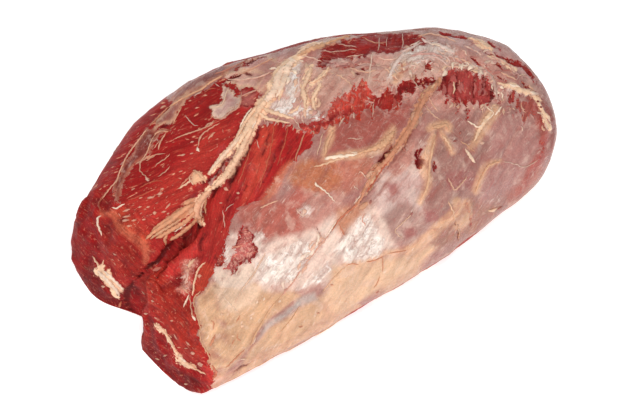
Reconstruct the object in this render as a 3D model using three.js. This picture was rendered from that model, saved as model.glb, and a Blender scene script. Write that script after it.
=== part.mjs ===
// Raw beef heel muscle: one boneless muscle, 245 mm long, cut across at one end
// and rounded at the other. A fat-filled seam runs along its top and parts a
// broad far lobe from a lower near lobe; on the cut face the two lobes are
// parted by a notch. It lies on a flat, slightly set underside.
//
// Millimetres, +X along the length towards the round end, near side -Y, +Z up.
// Origin at the bottom centre of the bounding box.
import * as THREE from 'three';
import { mergeVertices } from 'three/addons/utils/BufferGeometryUtils.js';

// ---------------------------------------------------------------- sizes
// cross-sections, one column for each station along the length
const STATION_X     = [-110,  -85,  -45,    0,   45,   90,  134];
const NEAR_WIDTH    = [44.0, 47.5, 53.5, 56.0, 58.0, 61.0, 78.5]; // middle line to near side
const FAR_WIDTH     = [57.0, 69.0, 87.5, 84.0, 72.5, 59.5, 47.0]; // middle line to far side
const HEIGHT        = [38.5, 55.5, 77.0, 92.5, 94.5, 88.0, 77.0];
const NEAR_BELLY    = [0.38, 0.37, 0.38, 0.38, 0.38, 0.40, 0.42]; // height of the widest point, as a share of HEIGHT
const FAR_BELLY     = [0.46, 0.45, 0.45, 0.45, 0.45, 0.45, 0.45];
const TOP_POWER     = 2.4;   // 2 is an ellipse, more is squarer
const BASE_POWER    = 3.7;
const BASE_SET      = 6.0;   // how far the underside is set flat by its own weight

// ends
const CUT_X         = -94;   // middle of the cut face
const NOSE_X        = 137;   // tip of the round end
const WAIST_X       = -10;   // where the round end starts to taper
const NOSE_POWER    = 3.0;
const CUT_DOME      = 3.0;   // swell of the cut face
const CUT_CORNER    = 8.0;   // round of its rim
const CUT_FLAT      = 0.86;  // share of the section inside that rim
const CUT_CENTRE_Y  = 8;     // on the line of the notch
const CUT_CENTRE_Z  = 34;
const NOSE_CENTRE_Z = 48;
const CUT_YAW       = -0.082; // radians, the cut is a little askew
const CUT_PITCH     = 0.345;  // and leans back towards its top
const CUT_REACH     = 75;     // length over which the slant fades

// seam along the top: how far over it lies at each station
const SEAM_X        = [-108, -94, -82, -70,  -61,  -50,  -32,  -16,    3,   22,   50,   95,  137];
const SEAM_Y        = [  12,  12,  11, 9.5, 13.5, 15.0, 20.0, 27.0, 34.5, 43.0, 45.0, 43.0, 38.0];
const LOBE_STEP     = 11;    // near lobe lies lower than the far one
const STEP_END_X    = -40;
const GROOVE_DEPTH  = 8;
const GROOVE_WIDTH  = 3.5;
const GROOVE_END_X  = -45;
const FAT_RIDGE     = 1.8;   // fat standing proud beside the seam
const FAT_WIDTH     = 4.5;
const FAT_OFFSET    = 6.0;
const FAT_END_X     = 20;

// notch between the lobes on the cut face
const NOTCH_DEPTH   = 13;
const NOTCH_FAR     = 13;    // soft slope on the far lobe
const NOTCH_NEAR    = 3.5;   // abrupt side on the near lobe
const NOTCH_FOOT_Y  = 4.5;
const NOTCH_REACH   = 32;    // length over which it runs out
const UNDERCUT      = 5;     // far lobe's lower lip drawn back
const UNDERCUT_Y    = 20;
const UNDERCUT_W    = 11;

// slow unevenness of a soft thing
const SWELL         = 0.8;

// mesh: rings along the length, columns round it (column 0 follows the seam)
const RINGS_CUT     = 9;
const RINGS_SIDE    = 31;
const COLUMNS       = 84;
const SEAM_CROWD    = 0.62;  // crowds the columns towards the seam
const GIRTH_SCALE   = 58;    // mean radius, used to space the rings evenly

// ---------------------------------------------------------------- helpers
const clamp = (v, a, b) => Math.min(b, Math.max(a, v));
const smooth = (a, b, v) => { const t = clamp((v - a) / (b - a), 0, 1); return t * t * (3 - 2 * t); };
const power = (v, p) => Math.sign(v) * Math.abs(v) ** p;
const bell = (v) => Math.exp(-v * v);

// slopes at the stations, second order inside and one-sided at the ends
function slopes(xs, ys) {
  const n = xs.length;
  const m = new Array(n);
  m[0] = (ys[1] - ys[0]) / (xs[1] - xs[0]);
  m[n - 1] = (ys[n - 1] - ys[n - 2]) / (xs[n - 1] - xs[n - 2]);
  for (let i = 1; i < n - 1; i += 1) {
    const a = xs[i] - xs[i - 1];
    const b = xs[i + 1] - xs[i];
    m[i] = (a * a * ys[i + 1] + (b * b - a * a) * ys[i] - b * b * ys[i - 1]) / (a * b * (a + b));
  }
  return m;
}

// smooth curve through the stations
function through(xs, ys) {
  const m = slopes(xs, ys);
  return (x) => {
    let i = 0;
    while (i < xs.length - 2 && x >= xs[i + 1]) i += 1;
    const h = xs[i + 1] - xs[i];
    const t = clamp((x - xs[i]) / h, 0, 1);
    const t2 = t * t;
    const t3 = t2 * t;
    return (2 * t3 - 3 * t2 + 1) * ys[i] + (t3 - 2 * t2 + t) * h * m[i]
      + (3 * t2 - 2 * t3) * ys[i + 1] + (t3 - t2) * h * m[i + 1];
  };
}

const nearWidth = through(STATION_X, NEAR_WIDTH);
const farWidth = through(STATION_X, FAR_WIDTH);
const height = through(STATION_X, HEIGHT);
const nearBelly = through(STATION_X, NEAR_BELLY);
const farBelly = through(STATION_X, FAR_BELLY);
const seamY = through(SEAM_X, SEAM_Y);

// ---------------------------------------------------------------- profile
// x along the length and the share of the full section there, from the middle
// of the cut face, over its rim, to the tip of the round end
function profile() {
  const pts = [];
  for (let i = 0; i < 400; i += 1) { const a = i / 400; pts.push([CUT_DOME * a * a, a * CUT_FLAT]); }
  for (let i = 0; i < 200; i += 1) {
    const q = (Math.PI / 2) * (i / 200);
    pts.push([CUT_DOME + CUT_CORNER * (1 - Math.cos(q)), CUT_FLAT + (1 - CUT_FLAT) * Math.sin(q)]);
  }
  const start = CUT_DOME + CUT_CORNER;
  const waist = WAIST_X - CUT_X;
  for (let i = 0; i < 400; i += 1) pts.push([start + (waist - start) * (i / 400), 1]);
  for (let i = 0; i < 2000; i += 1) {
    const q = (Math.PI / 2) * (i / 1999);
    pts.push([waist + (NOSE_X - WAIST_X) * Math.sin(q) ** (2 / NOSE_POWER), Math.max(0, Math.cos(q)) ** (2 / NOSE_POWER)]);
  }
  pts[pts.length - 1][1] = 0;
  let run = 0;
  return pts.map(([x, s], i) => {
    if (i > 0) run += Math.hypot(x - pts[i - 1][0], (s - pts[i - 1][1]) * GIRTH_SCALE);
    return [x + CUT_X, s, run];
  });
}
const PROFILE = profile();
function along(run) {
  let a = 0;
  let b = PROFILE.length - 1;
  while (b - a > 1) { const m = (a + b) >> 1; if (PROFILE[m][2] <= run) a = m; else b = m; }
  const t = (run - PROFILE[a][2]) / Math.max(1e-9, PROFILE[b][2] - PROFILE[a][2]);
  return [PROFILE[a][0] + t * (PROFILE[b][0] - PROFILE[a][0]), PROFILE[a][1] + t * (PROFILE[b][1] - PROFILE[a][1])];
}

// angle round the section at which the seam lies, so that column 0 follows it
function seamAngle(x) {
  const y = seamY(x);
  const share = clamp(y / (y >= 0 ? farWidth(x) : nearWidth(x)), -1, 1);
  return Math.acos(power(share, TOP_POWER / 2));
}

// angle of column j: column 0 lies on the seam, and near the cut the column
// half way round ends at the foot of the notch
function columnAngle(x, j) {
  const turn = (2 * Math.PI * j) / COLUMNS;
  const crowded = turn - SEAM_CROWD * Math.sin(turn);
  const start = seamAngle(x);
  const foot = 2 * Math.PI - Math.acos(power(NOTCH_FOOT_Y / farWidth(x), BASE_POWER / 2)) - start;
  const fade = smooth(CUT_X + 15, CUT_X + CUT_REACH, x);
  const half = foot * (1 - fade) + Math.PI * fade;
  return start + (crowded <= Math.PI ? (crowded * half) / Math.PI : half + ((crowded - Math.PI) * (2 * Math.PI - half)) / Math.PI);
}

// ---------------------------------------------------------------- surface
// one point: x and share s from the profile, angle v (0 far side, quarter turn up, half turn near side)
function point(x, s, v) {
  const c = Math.cos(v);
  const n = Math.sin(v);
  const h = height(x);
  let k = 0.5 - 0.5 * c;
  k = k * k * (3 - 2 * k);
  const belly = (farBelly(x) * (1 - k) + nearBelly(x) * k) * h;
  const p = n >= 0 ? TOP_POWER : BASE_POWER;
  let y = (c < 0 ? nearWidth(x) : farWidth(x)) * power(c, 2 / p);
  let z = n >= 0 ? belly + (h - belly) * power(n, 2 / p) : belly + (belly + BASE_SET) * power(n, 2 / p);
  const f = (x - CUT_X) / (NOSE_X - CUT_X);
  const zc = CUT_CENTRE_Z * (1 - f) + NOSE_CENTRE_Z * f;
  const yc = x < WAIST_X ? CUT_CENTRE_Y : 0;
  y = yc + (y - yc) * s;
  z = zc + (z - zc) * s;

  // slanted cut
  const slant = 1 - smooth(CUT_X, CUT_X + CUT_REACH, x);
  let X = x + slant * (Math.tan(CUT_YAW) * y + Math.tan(CUT_PITCH) * (z - 35));

  // slow swells, gone at the underside
  const lift = smooth(6, 40, z) * smooth(0, 0.5, s);
  const swell = SWELL * lift * (Math.sin(0.043 * x + 1.3 + 0.021 * y) + 0.6 * Math.sin(0.09 * x - 0.061 * y + 0.5));
  z += swell;
  y += 0.6 * swell * c;

  // step between the lobes, groove of the seam, ridge of fat beside it
  const top = smooth(0, 0.5, n) * smooth(0.3, 1, s);
  const ys = yc + (seamY(x) - yc) * s;
  const d = ys - y;
  z -= LOBE_STEP * (1 - smooth(CUT_X + 20, STEP_END_X, x)) * smooth(-1, 2, d) * top * (1 - 0.6 * smooth(15, 50, d));
  z -= GROOVE_DEPTH * (1 - smooth(CUT_X + 25, GROOVE_END_X, x)) * bell((d - 1) / GROOVE_WIDTH) * top;
  z += FAT_RIDGE * (1 - smooth(-20, FAT_END_X, x)) * bell((d + FAT_OFFSET) / FAT_WIDTH) * top * smooth(0.9, 1, s);

  // notch between the lobes on the cut face, and the drawn-back lip below it
  const line = z > CUT_CENTRE_Z
    ? yc + (seamY(x) - yc) * clamp((z - CUT_CENTRE_Z) / 14, 0, 1)
    : NOTCH_FOOT_Y + (yc - NOTCH_FOOT_Y) * (z / CUT_CENTRE_Z);
  X += NOTCH_DEPTH * bell((y - line) / (y > line ? NOTCH_FAR : NOTCH_NEAR)) * (1 - smooth(CUT_X + CUT_DOME, CUT_X + NOTCH_REACH, x));
  X += UNDERCUT * bell((y - UNDERCUT_Y) / UNDERCUT_W) * (1 - smooth(5, 30, z)) * (1 - smooth(CUT_X + 5, CUT_X + 35, x));

  // lies flat
  return new THREE.Vector3(X, y, Math.max(0, z));
}

// ---------------------------------------------------------------- mesh
function heelMuscle() {
  const total = PROFILE[PROFILE.length - 1][2];
  const rimRun = PROFILE[600][2];
  const stops = [];
  for (let i = 0; i <= RINGS_CUT; i += 1) stops.push(rimRun * (i / RINGS_CUT));
  for (let i = 1; i <= RINGS_SIDE; i += 1) stops.push(rimRun + (total - rimRun) * (i / RINGS_SIDE));

  const position = [];
  for (const run of stops) {
    const [x, s] = along(run);
    for (let j = 0; j < COLUMNS; j += 1) {
      const q = point(x, s, columnAngle(x, j));
      position.push(q.x, q.y, q.z);
    }
  }
  const index = [];
  const at = (i, j) => i * COLUMNS + (j % COLUMNS);
  for (let i = 0; i < stops.length - 1; i += 1) {
    for (let j = 0; j < COLUMNS; j += 1) {
      const a = at(i, j);
      const b = at(i, j + 1);
      const c = at(i + 1, j);
      const d = at(i + 1, j + 1);
      if (i > 0) index.push(a, b, c);
      if (i < stops.length - 2) index.push(b, d, c);
      else index.push(b, at(i + 1, 0), c);
    }
  }
  let g = new THREE.BufferGeometry();
  g.setAttribute('position', new THREE.Float32BufferAttribute(position, 3));
  g.setIndex(index);
  g = mergeVertices(g, 1e-3);
  // drop triangles that closed up at the two poles
  const kept = [];
  const idx = g.getIndex().array;
  for (let t = 0; t < idx.length; t += 3) {
    if (idx[t] !== idx[t + 1] && idx[t + 1] !== idx[t + 2] && idx[t] !== idx[t + 2]) kept.push(idx[t], idx[t + 1], idx[t + 2]);
  }
  g.setIndex(kept);

  // outward facing
  let volume = 0;
  const p = g.getAttribute('position');
  const A = new THREE.Vector3();
  const B = new THREE.Vector3();
  const C = new THREE.Vector3();
  for (let t = 0; t < kept.length; t += 3) {
    A.fromBufferAttribute(p, kept[t]);
    B.fromBufferAttribute(p, kept[t + 1]);
    C.fromBufferAttribute(p, kept[t + 2]);
    volume += A.dot(B.cross(C)) / 6;
  }
  if (volume < 0) {
    for (let t = 0; t < kept.length; t += 3) [kept[t + 1], kept[t + 2]] = [kept[t + 2], kept[t + 1]];
    g.setIndex(kept);
  }

  // bottom centre of the box to the origin
  g.computeBoundingBox();
  const box = g.boundingBox;
  g.translate(-(box.min.x + box.max.x) / 2, -(box.min.y + box.max.y) / 2, -box.min.z);
  g.computeVertexNormals();
  return g;
}

const meat = new THREE.MeshStandardMaterial({ color: 0x9c3f38, roughness: 0.38, metalness: 0 });
const muscle = new THREE.Mesh(heelMuscle(), meat);
muscle.name = 'heel_muscle';

const group = new THREE.Group();
group.add(muscle);

export default group;
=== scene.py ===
import bpy
import math
import numpy as np
from mathutils import Matrix, Vector
from mathutils.bvhtree import BVHTree


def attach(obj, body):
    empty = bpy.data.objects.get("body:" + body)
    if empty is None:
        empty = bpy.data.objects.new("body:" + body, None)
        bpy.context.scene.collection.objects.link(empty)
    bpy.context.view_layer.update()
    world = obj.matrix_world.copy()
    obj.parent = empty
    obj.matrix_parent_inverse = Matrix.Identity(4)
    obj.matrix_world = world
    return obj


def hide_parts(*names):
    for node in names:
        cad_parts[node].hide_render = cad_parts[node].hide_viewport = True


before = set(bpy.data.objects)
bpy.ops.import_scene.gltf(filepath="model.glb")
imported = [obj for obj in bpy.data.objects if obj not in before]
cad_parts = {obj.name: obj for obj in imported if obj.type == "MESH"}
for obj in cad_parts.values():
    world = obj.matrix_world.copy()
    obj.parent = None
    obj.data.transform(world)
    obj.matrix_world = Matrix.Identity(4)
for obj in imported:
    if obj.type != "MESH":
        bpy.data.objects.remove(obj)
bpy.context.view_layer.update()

# The raw beef heel muscle. The form below is the CAD part's, drawn at a finer pitch. Its features (regions, seams,
# strands, tears) are drawn as lines and outlines in the frame of the photograph, 624 x 416, and laid on the
# form along the lines of sight of a camera that stands where the photograph's stood. Sides that the photograph
# doesn't show have features of their own.

# ---------------------------------------------------------------- form, in millimetres, as the CAD part's
STATION_X = [-110, -85, -45, 0, 45, 90, 134]
NEAR_WIDTH = [44.0, 47.5, 53.5, 56.0, 58.0, 61.0, 78.5]
FAR_WIDTH = [57.0, 69.0, 87.5, 84.0, 72.5, 59.5, 47.0]
HEIGHT = [38.5, 55.5, 77.0, 92.5, 94.5, 88.0, 77.0]
NEAR_BELLY = [0.38, 0.37, 0.38, 0.38, 0.38, 0.40, 0.42]
FAR_BELLY = [0.46, 0.45, 0.45, 0.45, 0.45, 0.45, 0.45]
TOP_POWER, BASE_POWER, BASE_SET = 2.4, 3.7, 6.0
CUT_X, NOSE_X, WAIST_X, NOSE_POWER = -94.0, 137.0, -10.0, 3.0
CUT_DOME, CUT_CORNER, CUT_FLAT = 3.0, 8.0, 0.86
CUT_CENTRE_Y, CUT_CENTRE_Z, NOSE_CENTRE_Z = 8.0, 34.0, 48.0
CUT_YAW, CUT_PITCH, CUT_REACH = -0.082, 0.345, 75.0
SEAM_X = [-108, -94, -82, -70, -61, -50, -32, -16, 3, 22, 50, 95, 137]
SEAM_Y = [12, 12, 11, 9.5, 13.5, 15.0, 20.0, 27.0, 34.5, 43.0, 45.0, 43.0, 38.0]
LOBE_STEP, STEP_END_X = 11.0, -40.0
GROOVE_DEPTH, GROOVE_WIDTH, GROOVE_END_X = 8.0, 3.5, -45.0
FAT_RIDGE, FAT_WIDTH, FAT_OFFSET, FAT_END_X = 1.8, 4.5, 6.0, 20.0
NOTCH_DEPTH, NOTCH_FAR, NOTCH_NEAR, NOTCH_FOOT_Y, NOTCH_REACH = 13.0, 13.0, 3.5, 4.5, 32.0
UNDERCUT, UNDERCUT_Y, UNDERCUT_W = 5.0, 20.0, 11.0
SWELL = 0.8
GIRTH_SCALE = 58.0
CENTRE_X, CENTRE_Y = 15.5094, 15.5729     # middle of the CAD part's box, which is its origin


def smooth(a, b, v):
    t = np.clip((v - a) / (b - a), 0, 1)
    return t * t * (3 - 2 * t)


def power(v, p):
    return np.sign(v) * np.abs(v) ** p


def bell(v):
    return np.exp(-v * v)


def through(xs, ys):
    """A smooth curve through the stations."""
    xs, ys = np.array(xs, float), np.array(ys, float)
    m = np.gradient(ys, xs)

    def curve(x):
        i = np.clip(np.searchsorted(xs, x, side="right") - 1, 0, len(xs) - 2)
        h = xs[i + 1] - xs[i]
        t = np.clip((x - xs[i]) / h, 0, 1)
        t2, t3 = t * t, t * t * t
        return (2 * t3 - 3 * t2 + 1) * ys[i] + (t3 - 2 * t2 + t) * h * m[i] + (3 * t2 - 2 * t3) * ys[i + 1] + (t3 - t2) * h * m[i + 1]

    return curve


near_width, far_width, height = through(STATION_X, NEAR_WIDTH), through(STATION_X, FAR_WIDTH), through(STATION_X, HEIGHT)
near_belly, far_belly, seam_y = through(STATION_X, NEAR_BELLY), through(STATION_X, FAR_BELLY), through(SEAM_X, SEAM_Y)


def profile():
    """x, share of the section and running length, from the middle of the cut face to the tip of the round end."""
    a = np.arange(400) / 400
    q = (math.pi / 2) * np.arange(200) / 200
    b = (math.pi / 2) * np.arange(2000) / 1999
    start, waist = CUT_DOME + CUT_CORNER, WAIST_X - CUT_X
    x = np.concatenate([CUT_DOME * a * a, CUT_DOME + CUT_CORNER * (1 - np.cos(q)), start + (waist - start) * a,
                        waist + (NOSE_X - WAIST_X) * np.sin(b) ** (2 / NOSE_POWER)])
    s = np.concatenate([a * CUT_FLAT, CUT_FLAT + (1 - CUT_FLAT) * np.sin(q), np.ones(400),
                        np.maximum(0, np.cos(b)) ** (2 / NOSE_POWER)])
    s[-1] = 0
    run = np.concatenate([[0], np.cumsum(np.hypot(np.diff(x), np.diff(s) * GIRTH_SCALE))])
    return x + CUT_X, s, run


def seam_angle(x):
    y = seam_y(x)
    share = np.clip(y / np.where(y >= 0, far_width(x), near_width(x)), -1, 1)
    return np.arccos(power(share, TOP_POWER / 2))


def column_angle(x, turn):
    """Angle round the section: 0 lies on the seam, and near the cut half a turn ends at the foot of the notch."""
    start = seam_angle(x)
    foot = 2 * math.pi - np.arccos(power(NOTCH_FOOT_Y / far_width(x), BASE_POWER / 2)) - start
    fade = smooth(CUT_X + 15, CUT_X + CUT_REACH, x)
    half = foot * (1 - fade) + math.pi * fade
    return start + np.where(turn <= math.pi, turn * half / math.pi,
                            half + (turn - math.pi) * (2 * math.pi - half) / math.pi)


def surface(x, s, v):
    """The plain form: x along the length, share s of the section, angle v round it."""
    c, n = np.cos(v), np.sin(v)
    h = height(x)
    k = 0.5 - 0.5 * c
    k = k * k * (3 - 2 * k)
    belly = (far_belly(x) * (1 - k) + near_belly(x) * k) * h
    p = np.where(n >= 0, TOP_POWER, BASE_POWER)
    y = np.where(c < 0, near_width(x), far_width(x)) * power(c, 2 / p)
    z = np.where(n >= 0, belly + (h - belly) * power(n, 2 / p), belly + (belly + BASE_SET) * power(n, 2 / p))
    f = (x - CUT_X) / (NOSE_X - CUT_X)
    zc = CUT_CENTRE_Z * (1 - f) + NOSE_CENTRE_Z * f
    yc = np.where(x < WAIST_X, CUT_CENTRE_Y, 0.0)
    y = yc + (y - yc) * s
    z = zc + (z - zc) * s
    slant = 1 - smooth(CUT_X, CUT_X + CUT_REACH, x)
    X = x + slant * (math.tan(CUT_YAW) * y + math.tan(CUT_PITCH) * (z - 35))
    lift = smooth(6, 40, z) * smooth(0, 0.5, s)
    swell = SWELL * lift * (np.sin(0.043 * x + 1.3 + 0.021 * y) + 0.6 * np.sin(0.09 * x - 0.061 * y + 0.5))
    z = z + swell
    y = y + 0.6 * swell * c
    top = smooth(0, 0.5, n) * smooth(0.3, 1, s)
    ys = yc + (seam_y(x) - yc) * s
    d = ys - y
    z = z - LOBE_STEP * (1 - smooth(CUT_X + 20, STEP_END_X, x)) * smooth(-1, 2, d) * top * (1 - 0.6 * smooth(15, 50, d))
    z = z - GROOVE_DEPTH * (1 - smooth(CUT_X + 25, GROOVE_END_X, x)) * bell((d - 1) / GROOVE_WIDTH) * top
    z = z + FAT_RIDGE * (1 - smooth(-20, FAT_END_X, x)) * bell((d + FAT_OFFSET) / FAT_WIDTH) * top * smooth(0.9, 1, s)
    line = np.where(z > CUT_CENTRE_Z, yc + (seam_y(x) - yc) * np.clip((z - CUT_CENTRE_Z) / 14, 0, 1),
                    NOTCH_FOOT_Y + (yc - NOTCH_FOOT_Y) * (z / CUT_CENTRE_Z))
    X = X + NOTCH_DEPTH * bell((y - line) / np.where(y > line, NOTCH_FAR, NOTCH_NEAR)) * (1 - smooth(CUT_X + CUT_DOME, CUT_X + NOTCH_REACH, x))
    X = X + UNDERCUT * bell((y - UNDERCUT_Y) / UNDERCUT_W) * (1 - smooth(5, 30, z)) * (1 - smooth(CUT_X + 5, CUT_X + 35, x))
    return np.stack([X - CENTRE_X, y - CENTRE_Y, np.maximum(z, 0)], -1)


# ---------------------------------------------------------------- the photograph's camera, millimetres
CAM_AZ, CAM_EL, CAM_LENS, CAM_DIST = math.radians(-35.766), math.radians(54.66), 109.6, 950.0
PIC_W, PIC_H = 624.0, 416.0
BACK = np.array([math.sin(CAM_AZ) * math.cos(CAM_EL), -math.cos(CAM_AZ) * math.cos(CAM_EL), math.sin(CAM_EL)])
RIGHT = np.array([math.cos(CAM_AZ), math.sin(CAM_AZ), 0.0])
UP = np.cross(BACK, RIGHT)
TARGET = np.array([-CENTRE_X, -CENTRE_Y, 45.0]) + RIGHT * 3.296 + UP * -7.197
EYE = TARGET + BACK * CAM_DIST
PX = CAM_LENS / 36.0 * PIC_W        # picture points for a unit slope


def to_picture(p):
    d = p - EYE
    w = -(d @ BACK)
    return np.stack([PIC_W / 2 + PX * (d @ RIGHT) / w, PIC_H / 2 - PX * (d @ UP) / w], -1)


def sight(x, y):
    d = -BACK + RIGHT * ((x - PIC_W / 2) / PX) - UP * ((y - PIC_H / 2) / PX)
    return d / np.linalg.norm(d)


# ---------------------------------------------------------------- noise
_rng = np.random.default_rng(7)
_perm = np.concatenate([_rng.permutation(256)] * 2)
_grad = _rng.normal(size=(256, 3))
_grad /= np.linalg.norm(_grad, axis=1)[:, None]


def noise(p):
    """Smooth gradient noise at points p, about -1 to 1."""
    p = np.asarray(p, float)
    i = np.floor(p).astype(int)
    f = p - i
    u = f * f * f * (f * (f * 6 - 15) + 10)
    i &= 255
    out = 0.0
    for dx in (0, 1):
        wx = u[..., 0] if dx else 1 - u[..., 0]
        for dy in (0, 1):
            wy = u[..., 1] if dy else 1 - u[..., 1]
            for dz in (0, 1):
                wz = u[..., 2] if dz else 1 - u[..., 2]
                g = _grad[_perm[(_perm[(_perm[(i[..., 0] + dx) & 255] + i[..., 1] + dy) & 255] + i[..., 2] + dz) & 255]]
                out = out + wx * wy * wz * (g[..., 0] * (f[..., 0] - dx) + g[..., 1] * (f[..., 1] - dy) + g[..., 2] * (f[..., 2] - dz))
    return out * 1.6


def fbm(p, octaves=3):
    total, amp, norm = 0.0, 1.0, 0.0
    for k in range(octaves):
        total = total + amp * noise(np.asarray(p) * 2.0 ** k + 17.3 * k)
        norm += amp
        amp *= 0.5
    return total / norm


# ---------------------------------------------------------------- the body's mesh
RINGS_CUT, RINGS_SIDE, COLUMNS = 46, 286, 298
prof_x, prof_s, prof_run = profile()
rim_run, end_run = prof_run[600], prof_run[-1]
ring_run = np.concatenate([np.linspace(0, rim_run, RINGS_CUT, endpoint=False), np.linspace(rim_run, end_run, RINGS_SIDE)])
ring_x = np.interp(ring_run, prof_run, prof_x)
ring_s = np.interp(ring_run, prof_run, prof_s)
rings = len(ring_run)

# columns lie closer on the top and the near side than underneath
turn = np.linspace(0, 2 * math.pi, 1441)
mid = surface(np.full(1441, 20.0), np.ones(1441), column_angle(np.full(1441, 20.0), turn))
step = np.linalg.norm(np.diff(mid, axis=0), axis=1)
tm = 0.5 * (turn[1:] + turn[:-1])
deg = np.degrees(tm)
density = 0.42 + 0.58 * np.maximum(1 - smooth(118, 140, deg), smooth(268, 290, deg))
weight = np.concatenate([[0], np.cumsum((step + 0.25) * density)])
column_turn = np.interp(np.linspace(0, weight[-1], COLUMNS, endpoint=False), weight, turn)
first = int(np.argmin(np.abs(column_turn - math.pi)))
column_turn = np.concatenate([column_turn[first:], column_turn[:first]])     # the first column runs underneath
GX = np.repeat(ring_x[:, None], COLUMNS, 1)
GS = np.repeat(ring_s[:, None], COLUMNS, 1)
GT = np.repeat(column_turn[None, :], rings, 0)
GV = column_angle(GX, GT)
P0 = surface(GX, GS, GV)                                # rings x columns x 3


def flat(grid):
    """A grid value as one value a vertex: pole, inner rings, pole."""
    return np.concatenate([grid[:1, 0], grid[1:-1].reshape(-1, *grid.shape[2:]), grid[-1:, 0]], 0)


def grid_normals(G):
    n = np.cross(np.gradient(G, axis=0), np.roll(G, -1, 1) - np.roll(G, 1, 1))
    if (n[5:-5] * (G[5:-5] - G.mean((0, 1)))).sum() < 0:
        n = -n
    n[0], n[-1] = n[1].mean(0), n[-2].mean(0)
    return n / np.maximum(1e-9, np.linalg.norm(n, axis=2))[:, :, None]


P = flat(P0)
N = flat(grid_normals(P0))
S = flat(GS)
X, Y, Z = P.T
RING = flat(np.repeat(np.arange(rings)[:, None], COLUMNS, 1))
arc = np.concatenate([[0], np.cumsum(np.linalg.norm(np.diff(P0[150], axis=0), axis=1))])
ARC = flat(np.repeat(arc[None, :], rings, 0))           # millimetres round the middle section, from the underside
ANGLE = np.degrees(flat(GV)) % 360                      # 0 the far side, 90 top, 180 the near side, 270 underneath
cut_face = 1 - smooth(RINGS_CUT - 3, RINGS_CUT + 6, RING)

UV = to_picture(P)
eye_dir = EYE - P
facing = (N * eye_dir).sum(1) / np.linalg.norm(eye_dir, axis=1)
jitter = 0.05 * noise(P / 7.0)
seen = smooth(0.10, 0.27, facing + jitter)              # 1 where the photograph shows the surface
WARP = UV + np.stack([2.0 * noise(P / 6.0) + 1.3 * noise(P / 2.4 + 9), 2.0 * noise(P / 6.0 + 31) + 1.3 * noise(P / 2.4 + 47)], -1)
# hanging teeth, for the torn edges of the skin on the right
teeth = 7.5 * noise(np.stack([UV[:, 0] / 3.6, UV[:, 1] / 26.0, np.full(len(P), 2.0)], -1)) + 3.0 * noise(np.stack([UV[:, 0] / 1.9, UV[:, 1] / 14.0, np.full(len(P), 6.0)], -1))
TORN = UV + np.stack([1.6 * noise(P / 3.4 + 77) + 1.2 * noise(P / 9.0 + 5), teeth + 1.2 * noise(P / 4.0)], -1)
SOFT = UV + np.stack([5 * noise(P / 16.0 + 3), 5 * noise(P / 16.0 + 71)], -1)
MM = 0.5                                                # millimetres to a picture point, about


def srgb(c):
    c = np.array(c, float) / 255
    return np.where(c <= 0.04045, c / 12.92, ((c + 0.055) / 1.055) ** 2.4)


def inside(pts, outline):
    """Distance to an outline in picture points, positive inside, -40 when far off."""
    o = np.array(outline, float)
    out = np.full(len(pts), -40.0)
    lo, hi = o.min(0) - 20, o.max(0) + 20
    near = np.where((pts[:, 0] > lo[0]) & (pts[:, 0] < hi[0]) & (pts[:, 1] > lo[1]) & (pts[:, 1] < hi[1]) & (facing > 0.02))[0]
    q = pts[near]
    best, odd = np.full(len(q), 1e9), np.zeros(len(q), bool)
    for a, b in zip(o, np.roll(o, -1, 0)):
        e = b - a
        t = np.clip(((q - a) @ e) / max(1e-9, e @ e), 0, 1)
        best = np.minimum(best, np.hypot(*(q - a - t[:, None] * e).T))
        if a[1] != b[1]:
            odd ^= ((a[1] > q[:, 1]) != (b[1] > q[:, 1])) & (q[:, 0] < e[0] * (q[:, 1] - a[1]) / e[1] + a[0])
    out[near] = np.where(odd, best, -best)
    return out


def spline(pts, pitch):
    """A smooth line through points of any dimension, resampled at a pitch."""
    p = np.array(pts, float)
    if len(p) == 2:
        p = np.array([p[0], (p[0] + p[1]) / 2, p[1]])
    q = np.concatenate([[2 * p[0] - p[1]], p, [2 * p[-1] - p[-2]]])
    out = []
    for i in range(1, len(q) - 2):
        for t in np.arange(12) / 12:
            out.append(0.5 * (2 * q[i] + (q[i + 1] - q[i - 1]) * t + (2 * q[i - 1] - 5 * q[i] + 4 * q[i + 1] - q[i + 2]) * t * t
                              + (3 * q[i] - q[i - 1] - 3 * q[i + 1] + q[i + 2]) * t ** 3))
    out = np.array(out + [p[-1]])
    run = np.concatenate([[0], np.cumsum(np.hypot(*np.diff(out[:, :2], axis=0).T))])
    n = max(3, int(run[-1] / pitch) + 1)
    at = np.linspace(0, run[-1], n)
    return np.stack([np.interp(at, run, out[:, k]) for k in range(out.shape[1])], -1)


def near_line(pts, line, everywhere=False):
    """Half width less distance to a line of (x, y, width) in picture points, and the share of the half width."""
    ln = spline(line, 3.0)
    out, side = np.full(len(pts), -40.0), np.full(len(pts), 9.0)
    lo, hi = ln[:, :2].min(0) - 22, ln[:, :2].max(0) + 22
    ok = (pts[:, 0] > lo[0]) & (pts[:, 0] < hi[0]) & (pts[:, 1] > lo[1]) & (pts[:, 1] < hi[1])
    near = np.where(ok if everywhere else ok & (facing > 0.02))[0]
    q = pts[near]
    best, share = np.full(len(q), -40.0), np.full(len(q), 9.0)
    for a, b in zip(ln[:-1], ln[1:]):
        e = b[:2] - a[:2]
        t = np.clip(((q - a[:2]) @ e) / max(1e-9, e @ e), 0, 1)
        d = np.hypot(*(q - a[:2] - t[:, None] * e).T)
        h = (a[2] + (b[2] - a[2]) * t) / 2
        better = h - d > best
        best = np.where(better, h - d, best)
        share = np.where(better, d / np.maximum(h, 0.3), share)
    out[near], side[near] = best, share
    return out, side


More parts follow.
